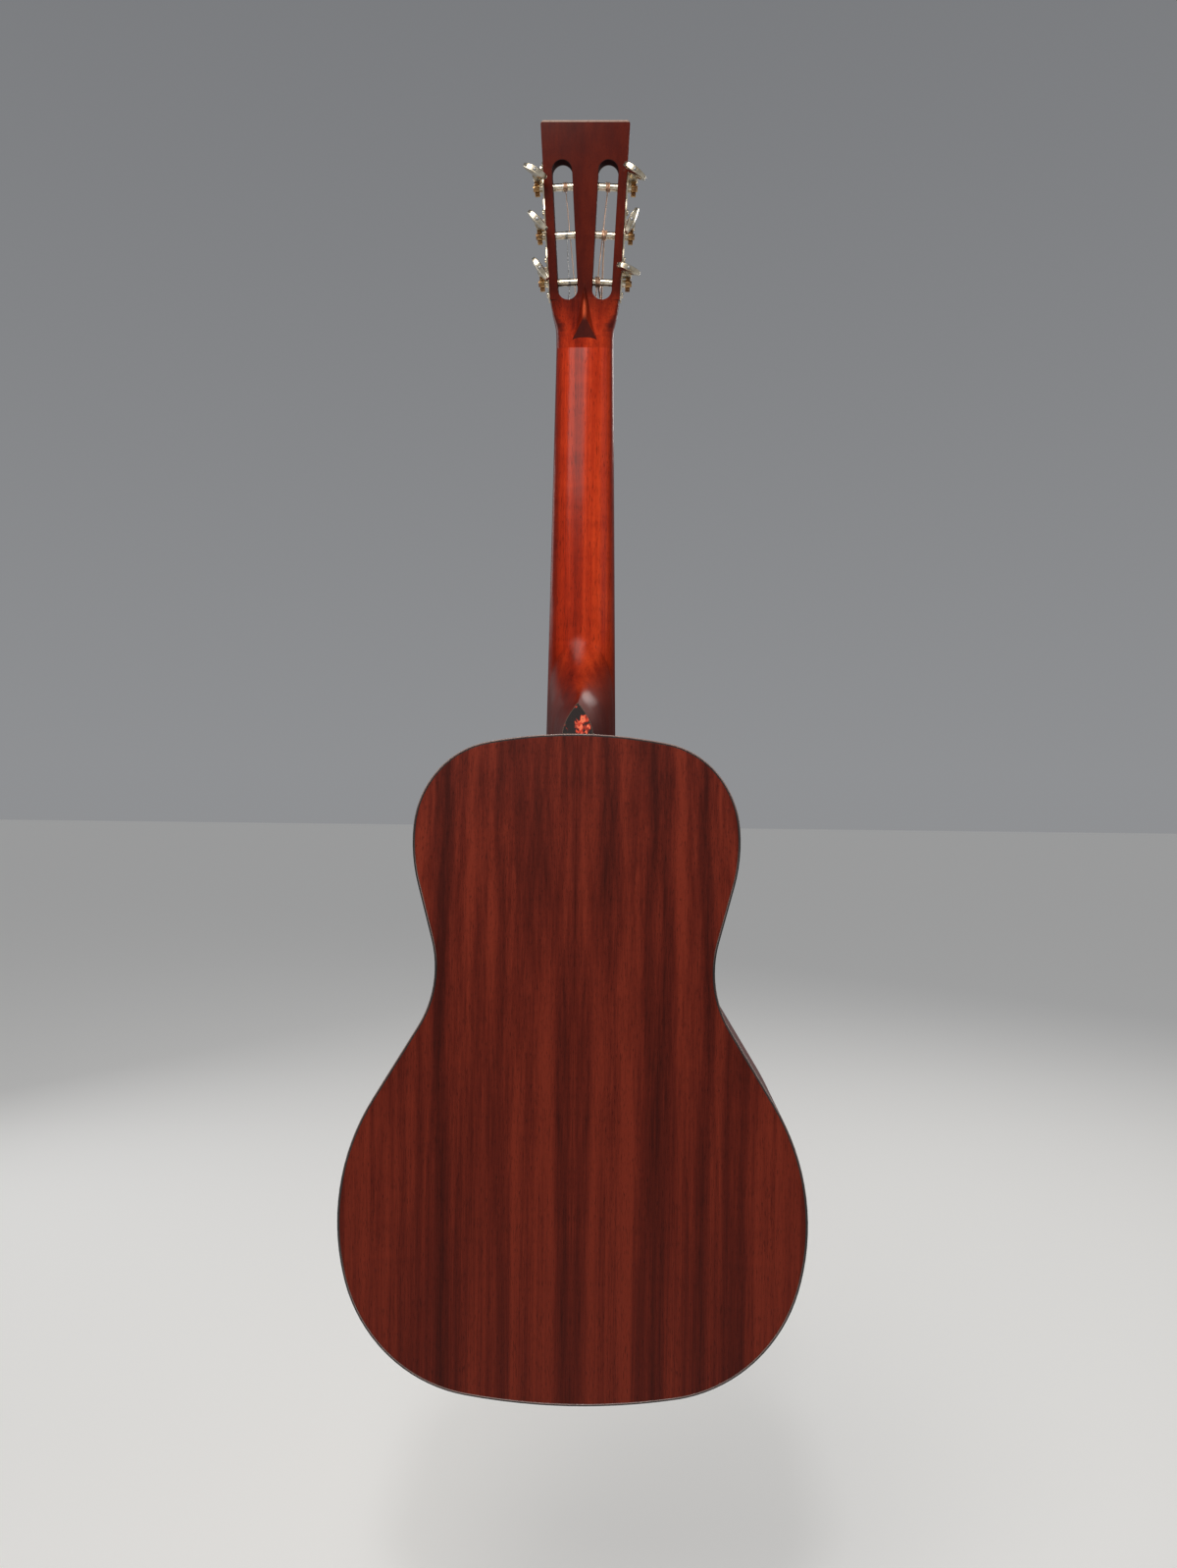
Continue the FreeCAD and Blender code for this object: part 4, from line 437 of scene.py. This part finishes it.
def plastic(name, colour, rough=0.25, coat=0.6, rim_highlight=None):
    k = Net(name)
    n = k.noise(k.coords((40, 40, 40)), 1.0, 3.0, 0.5, 0.2)
    col = k.ramp(n, [(0.3, tuple(c * 0.8 for c in colour)), (0.7, tuple(min(1, c * 1.15) for c in colour))])
    fine = k.noise(k.coords((900, 900, 900)), 1.0, 2.0, 0.5, 0.0)
    if rim_highlight is not None:
        # painted highlight: the outer edge is painted paler where it faces up the body
        g = k.node("ShaderNodeNewGeometry")
        gs = k.node("ShaderNodeSeparateXYZ")
        b = soft_edges(k, 0.0016)
        k.link(b, gs.inputs[0])
        up_face = k.span(gs.outputs[2], 0.05, 0.35, 0.0, 1.0)
        col = k.mix(k.math("MULTIPLY", k.math("MULTIPLY", edge_mask(k, 0.0016, 0.004, 0.05), up_face), 0.95), col, rim_highlight,
                    "MIX")
        k.nt.nodes.remove(g)
    edge = soft_edges(k, 0.0007)
    return k.set(base=col, rough=k.span(n, 0.3, 0.7, rough * 0.85, rough * 1.2), coat=coat, coat_rough=0.1,
                 normal=k.bump(fine, 0.05, 0.00005, edge), coat_normal=edge)


# black binding with a pale painted highlight along its outer edge
M["binding"] = plastic("binding_black", srgb(24, 20, 18), 0.30, 0.4, rim_highlight=srgb(186, 152, 142))


def bone():
    k = Net("bone")
    n = k.noise(k.coords((60, 200, 200)), 1.0, 4.0, 0.6, 0.5)
    sp = k.noise(k.coords((500, 2200, 2200)), 1.0, 1.0, 0.5, 0.0)
    col = k.ramp(n, [(0.35, srgb(214, 200, 168)), (0.65, srgb(238, 230, 208))])
    col = k.mix(k.span(sp, 0.62, 0.7, 0.0, 0.35), col, srgb(176, 156, 120), "MIX")
    return k.set(base=col, rough=0.34, sub=0.06, coat=0.4, coat_rough=0.2)


M["bone"] = bone()


def pearl():
    k = Net("pearl")
    n = k.noise(k.coords((240, 240, 320)), 1.0, 3.0, 0.6, 1.5)
    col = k.ramp(n, [(0.3, srgb(196, 204, 200)), (0.45, srgb(236, 236, 226)), (0.6, srgb(214, 222, 226)),
                     (0.75, srgb(240, 228, 214))])
    return k.set(base=col, rough=0.2, metal=0.15, coat=1.0, coat_rough=0.06)


M["pearl"] = pearl()


def ring_inlay():
    """Rings of light and dark fibre round the soundhole, with a band of slanted ticks."""
    k = Net("ring_inlay")
    tc = k.node("ShaderNodeTexCoord")
    sep = k.node("ShaderNodeSeparateXYZ")
    k.link(tc.outputs["Object"], sep.inputs[0])
    x = sep.outputs[0]
    z = k.math("ADD", sep.outputs[2], 0.149)
    rad = k.math("SQRT", k.math("ADD", k.math("MULTIPLY", x, x), k.math("MULTIPLY", z, z)))
    ang = k.math("ARCTAN2", z, x)
    fr = k.span(rad, 0.053, 0.062, 0.0, 1.0)
    band = k.ramp(fr, [(0.0, 0.0), (0.10, 1.0), (0.20, 0.0), (0.30, 0.5), (0.70, 0.0), (0.80, 1.0), (0.90, 0.0)],
                  "CONSTANT")
    tick = k.math("SINE", k.math("ADD", k.math("MULTIPLY", ang, 120.0), k.math("MULTIPLY", fr, 14.0)))
    tick = k.span(tick, -0.1, 0.1, 0.0, 1.0)
    mid_on = k.math("LESS_THAN", k.math("ABSOLUTE", k.math("SUBTRACT", fr, 0.5)), 0.2)
    base = k.mix(band, srgb(28, 20, 16), srgb(226, 212, 180), "MIX")
    ticks = k.mix(tick, srgb(120, 44, 26), srgb(224, 206, 168), "MIX")
    col = k.mix(mid_on, base, ticks, "MIX")
    return k.set(base=col, rough=0.35, coat=0.4, coat_rough=0.2)


M["ring_inlay"] = ring_inlay()


def metal(name, colour, rough=0.16, wear=0.1, aniso=0.0, tarnish=None, scale=1.0, edge=0.0):
    k = Net(name)
    n = k.noise(k.coords((160 * scale, 160 * scale, 160 * scale)), 1.0, 4.0, 0.6, 0.3)
    f = k.noise(k.coords((1500 * scale, 900 * scale, 1500 * scale)), 1.0, 2.0, 0.5, 0.0)
    dark = tarnish or tuple(c * 0.72 for c in colour)
    col = k.ramp(n, [(0.35, dark), (0.62, colour)])
    rg = k.span(n, 0.3, 0.7, rough * 1.5 + wear, rough * 0.8)
    return k.set(base=col, metal=1.0, rough=rg,
                 normal=k.bump(f, 0.06, 0.00004, soft_edges(k, edge) if edge else None), aniso=aniso)


M["nickel"] = metal("nickel", srgb(226, 216, 196), 0.15, 0.08, tarnish=srgb(172, 158, 134), edge=0.0003)
M["brass"] = metal("gear_brass", srgb(196, 160, 112), 0.24, 0.12, tarnish=srgb(132, 92, 62))
M["fret"] = metal("fret_metal", srgb(214, 210, 200), 0.16, 0.06)
M["steel"] = metal("steel", srgb(150, 150, 150), 0.35, 0.1)
M["plain_string"] = metal("plain_string", srgb(214, 212, 206), 0.2, 0.05)


def wound(name, colour, pitch_scale):
    """Wrapped string: fine rings along its run."""
    k = Net(name)
    wv = k.node("ShaderNodeTexWave", wave_type="BANDS", bands_direction="Z", wave_profile="SIN")
    wv.inputs["Scale"].default_value = pitch_scale
    k.link(k.coords(), wv.inputs["Vector"])
    n = k.noise(k.coords((30, 30, 30)), 1.0, 3.0, 0.6, 0.2)
    col = k.ramp(n, [(0.35, tuple(c * 0.7 for c in colour)), (0.65, colour)])
    # painted shade in the grooves between the wraps
    col = k.mix(k.span(wv.outputs["Fac"], 0.0, 0.4, 0.5, 0.0), col, tuple(c * 0.3 for c in colour), "MIX")
    return k.set(base=col, metal=1.0, rough=0.3, normal=k.bump(wv.outputs["Fac"], 0.6, 0.00012))


M["wound"] = wound("wound_string", srgb(236, 192, 162), 900.0)

SLOTS = {
    "spruce_top": "spruce_top", "brace_spruce": "spruce_brace", "mahogany_body": "mahogany_back",
    "mahogany_block": "mahogany_block", "mahogany_neck": "mahogany_neck", "ebony": "ebony", "rosewood": "rosewood",
    "binding_black": "binding", "tortoise": "tortoise", "ring_inlay": "ring_inlay", "pearl": "pearl", "bone": "bone",
    "fret_metal": "fret", "nickel": "nickel", "gear_brass": "brass", "steel": "steel", "plain_steel": "plain_string",
    "bronze": "wound"}
slot_of = {s["node"]: s["material_slot"] for s in frame["record"]["subparts"]}
BY_NODE = {"side_bass": "mahogany_side", "side_treble": "mahogany_side", "heel_cap": "tortoise_cap"}
for name, obj in nodes.items():
    mat = M[BY_NODE.get(name, SLOTS[slot_of[name]])]
    if not obj.data.materials:
        obj.data.materials.append(mat)
    else:
        for i in range(len(obj.data.materials)):
            obj.data.materials[i] = mat


# ------------------------------------------------------------------ small pieces
def mesh_piece(name, verts, faces, mat, body, smooth=True):
    me = bpy.data.meshes.new(name)
    me.from_pydata([tuple(v) for v in verts], [], faces)
    me.validate()
    bm = bmesh.new()
    bm.from_mesh(me)
    bmesh.ops.recalc_face_normals(bm, faces=bm.faces)
    bm.to_mesh(me)
    bm.free()
    if smooth:
        for p in me.polygons:
            p.use_smooth = True
    ob = bpy.data.objects.new(name, me)
    bpy.context.scene.collection.objects.link(ob)
    me.materials.append(mat)
    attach(ob, body)
    return ob


def tube(points, radius, sides=10, closed=False, radii=None):
    """Vertices and faces of a round tube through points."""
    verts, faces = [], []
    n = len(points)
    prev = None
    for i, p in enumerate(points):
        a = points[i - 1] if (i or closed) else points[i]
        b = points[(i + 1) % n] if (i < n - 1 or closed) else points[i]
        t = (b - a).normalized()
        if prev is None:
            ref = Vector((0, 0, 1)) if abs(t.z) < 0.9 else Vector((1, 0, 0))
            u = t.cross(ref).normalized()
        else:
            u = (prev - t * prev.dot(t)).normalized()
        prev = u
        w = t.cross(u)
        r = radii[i] if radii else radius
        for k in range(sides):
            ang = 2 * math.pi * k / sides
            verts.append(p + (u * math.cos(ang) + w * math.sin(ang)) * r)
    rings = n if closed else n - 1
    for i in range(rings):
        for k in range(sides):
            a0, a1 = i * sides + k, i * sides + (k + 1) % sides
            b0, b1 = ((i + 1) % n) * sides + k, ((i + 1) % n) * sides + (k + 1) % sides
            faces.append((a0, a1, b1, b0))
    if not closed:
        faces.append(tuple(reversed(range(sides))))
        faces.append(tuple(range((n - 1) * sides, n * sides)))
    return verts, faces


# turns of each string on its roller, and its cut end
TURNS = {1: 6, 2: 5, 3: 5, 4: 4, 5: 3.5, 6: 3}
for n in range(1, 7):
    side, row = MACHINES[n]
    fr = machine(n)
    inv = fr.inverted() @ HEAD
    r = GAUGE[n] / 2.0
    v = 40.0 + 34.0 * row
    start = inv @ Vector((WIND_X[n] * MM, -9.4 * MM, v * MM))   # on the roller axis, local x
    x0 = start.x / MM
    R0 = 2.8 + 0.3 + r
    R1 = 2.8 + r + 0.01
    # string leaves on the front side; local Y is the front, local Z is up the head
    turns = TURNS[n]
    step = 2 * r + 0.04
    pts = []
    total = int(turns * 40)
    for i in range(total + 1):
        f = i / 40.0
        ang = math.radians(96.0) - 2 * math.pi * f * 1.0
        rr = R0 + (R1 - R0) * min(1.0, f / 0.6)
        # the wraps lie side by side, the middle one where the string leaves
        px = x0 + side * step * (f - turns * 0.5)
        pts.append(fr @ Vector((px * MM, rr * math.sin(ang) * MM, rr * math.cos(ang) * MM)))
    vs, fs = tube(pts, r * MM, 10)
    mat = M["plain_string"] if n <= 2 else M["wound"]
    mesh_piece("string_turns_%d" % n, vs, fs, mat, "roller_%d" % n)

# dark rivet at the end of each button's shaft
for n in range(1, 7):
    side, row = MACHINES[n]
    fr = machine(n)
    y_end = -(18.8 - 9.4) - 4.0 - 13.0
    prof = [(0.0, 0.28), (0.7, 0.25), (1.25, 0.05), (1.3, -0.9), (0.0, -0.9)]
    verts, faces = [], []
    seg = 24
    for (rad, h) in prof[:-1]:
        for k in range(seg):
            a = 2 * math.pi * k / seg
            verts.append(fr @ Vector(((side * 5.6 + rad * math.cos(a)) * MM, (y_end - h) * MM,
                                      (7.7 + rad * math.sin(a)) * MM)))
    for i in range(len(prof) - 2):
        for k in range(seg):
            faces.append((i * seg + k, i * seg + (k + 1) % seg, (i + 1) * seg + (k + 1) % seg, (i + 1) * seg + k))
    faces.append(tuple((len(prof) - 2) * seg + k for k in range(seg)))
    mesh_piece("button_rivet_%d" % n, verts, faces, M["steel"], "key_%d" % n)

# ------------------------------------------------------------------ floor, light, camera
fl = bpy.data.meshes.new("floor")
s = 14.0
fl.from_pydata([(-s, -s, -0.80), (s, -s, -0.80), (s, s, -0.80), (-s, s, -0.80)], [], [(0, 1, 2, 3)])
floor = bpy.data.objects.new("floor", fl)
bpy.context.scene.collection.objects.link(floor)
kf = Net("floor_pale")
kf.set(base=(0.74, 0.735, 0.72), rough=0.9, spec=0.1)
kf.bsdf.inputs["Emission Color"].default_value = (0.74, 0.735, 0.72, 1.0)
kf.bsdf.inputs["Emission Strength"].default_value = 0.24
fl.materials.append(kf.mat)

world = bpy.data.worlds.new("studio")
bpy.context.scene.world = world
world.use_nodes = True
wt = world.node_tree
bg = wt.nodes["Background"]
wc = wt.nodes.new("ShaderNodeTexCoord")
ws = wt.nodes.new("ShaderNodeSeparateXYZ")
wt.links.new(wc.outputs["Generated"], ws.inputs[0])
wr = wt.nodes.new("ShaderNodeValToRGB")
wr.color_ramp.elements[0].position = 0.0
wr.color_ramp.elements[0].color = (0.55, 0.56, 0.58, 1.0)
wr.color_ramp.elements[1].position = 0.75
wr.color_ramp.elements[1].color = (0.34, 0.35, 0.37, 1.0)
wt.links.new(ws.outputs[2], wr.inputs[0])
wt.links.new(wr.outputs[0], bg.inputs[0])
bg.inputs[1].default_value = 0.50


def area(name, loc, target, size, power, colour=(1, 1, 1), size_y=None):
    li = bpy.data.lights.new(name, "AREA")
    li.energy = power
    li.color = colour
    li.shape = "RECTANGLE"
    li.size = size
    li.size_y = size_y or size
    ob = bpy.data.objects.new(name, li)
    bpy.context.scene.collection.objects.link(ob)
    ob.location = loc
    d = Vector(target) - Vector(loc)
    ob.rotation_euler = d.to_track_quat("-Z", "Y").to_euler()
    return ob


# back of the guitar: a small lamp high in front of it, a larger one to its left, a weak one to its right
area("top_back", (-0.09, -1.15, 1.09), (0, 0, 0.05), 0.18, 5.5, (0.97, 0.98, 1.0))
area("key", (-0.28, -0.82, 0.80), (0, 0, 0.10), 0.70, 9.6, (1.0, 0.95, 0.88), 0.8)
area("fill", (1.5, -1.1, 0.5), (0, 0, -0.1), 0.9, 2.5, (0.93, 0.96, 1.0), 1.2)
# front of the guitar
area("front_key", (1.1, 1.5, 1.2), (0, 0, -0.1), 0.8, 18.0, (1.0, 0.98, 0.95))
area("front_fill", (-1.5, 1.2, 0.3), (0, 0, -0.1), 0.9, 7.0)

bpy.context.scene.view_settings.view_transform = "Standard"

cam_data = bpy.data.cameras.new("camera")
cam = bpy.data.objects.new("camera", cam_data)
bpy.context.scene.collection.objects.link(cam)
bpy.context.scene.camera = cam
cam_data.sensor_fit = "VERTICAL"
cam_data.sensor_height = 24.0
FOCAL = 1129.95
cam_data.lens = 24.0 * FOCAL / 1598.0
cam_data.clip_start = 0.01
cam_data.clip_end = 60.0
cx, cy, cz = 0.0257593, -0.9021460, -0.0258793
ax, ay, az = -0.013408713, -0.010900179, 0.021220279
Rx = Matrix.Rotation(ax, 3, "X")
Ry = Matrix.Rotation(ay, 3, "Y")
Rz = Matrix.Rotation(az, 3, "Z")
R = Rz @ Rx @ Ry
right, forward, up = R.col[0], R.col[1], R.col[2]
mat4 = Matrix(((right.x, up.x, -forward.x, cx), (right.y, up.y, -forward.y, cy),
               (right.z, up.z, -forward.z, cz), (0, 0, 0, 1)))
cam.matrix_world = mat4

bpy.context.view_layer.update()
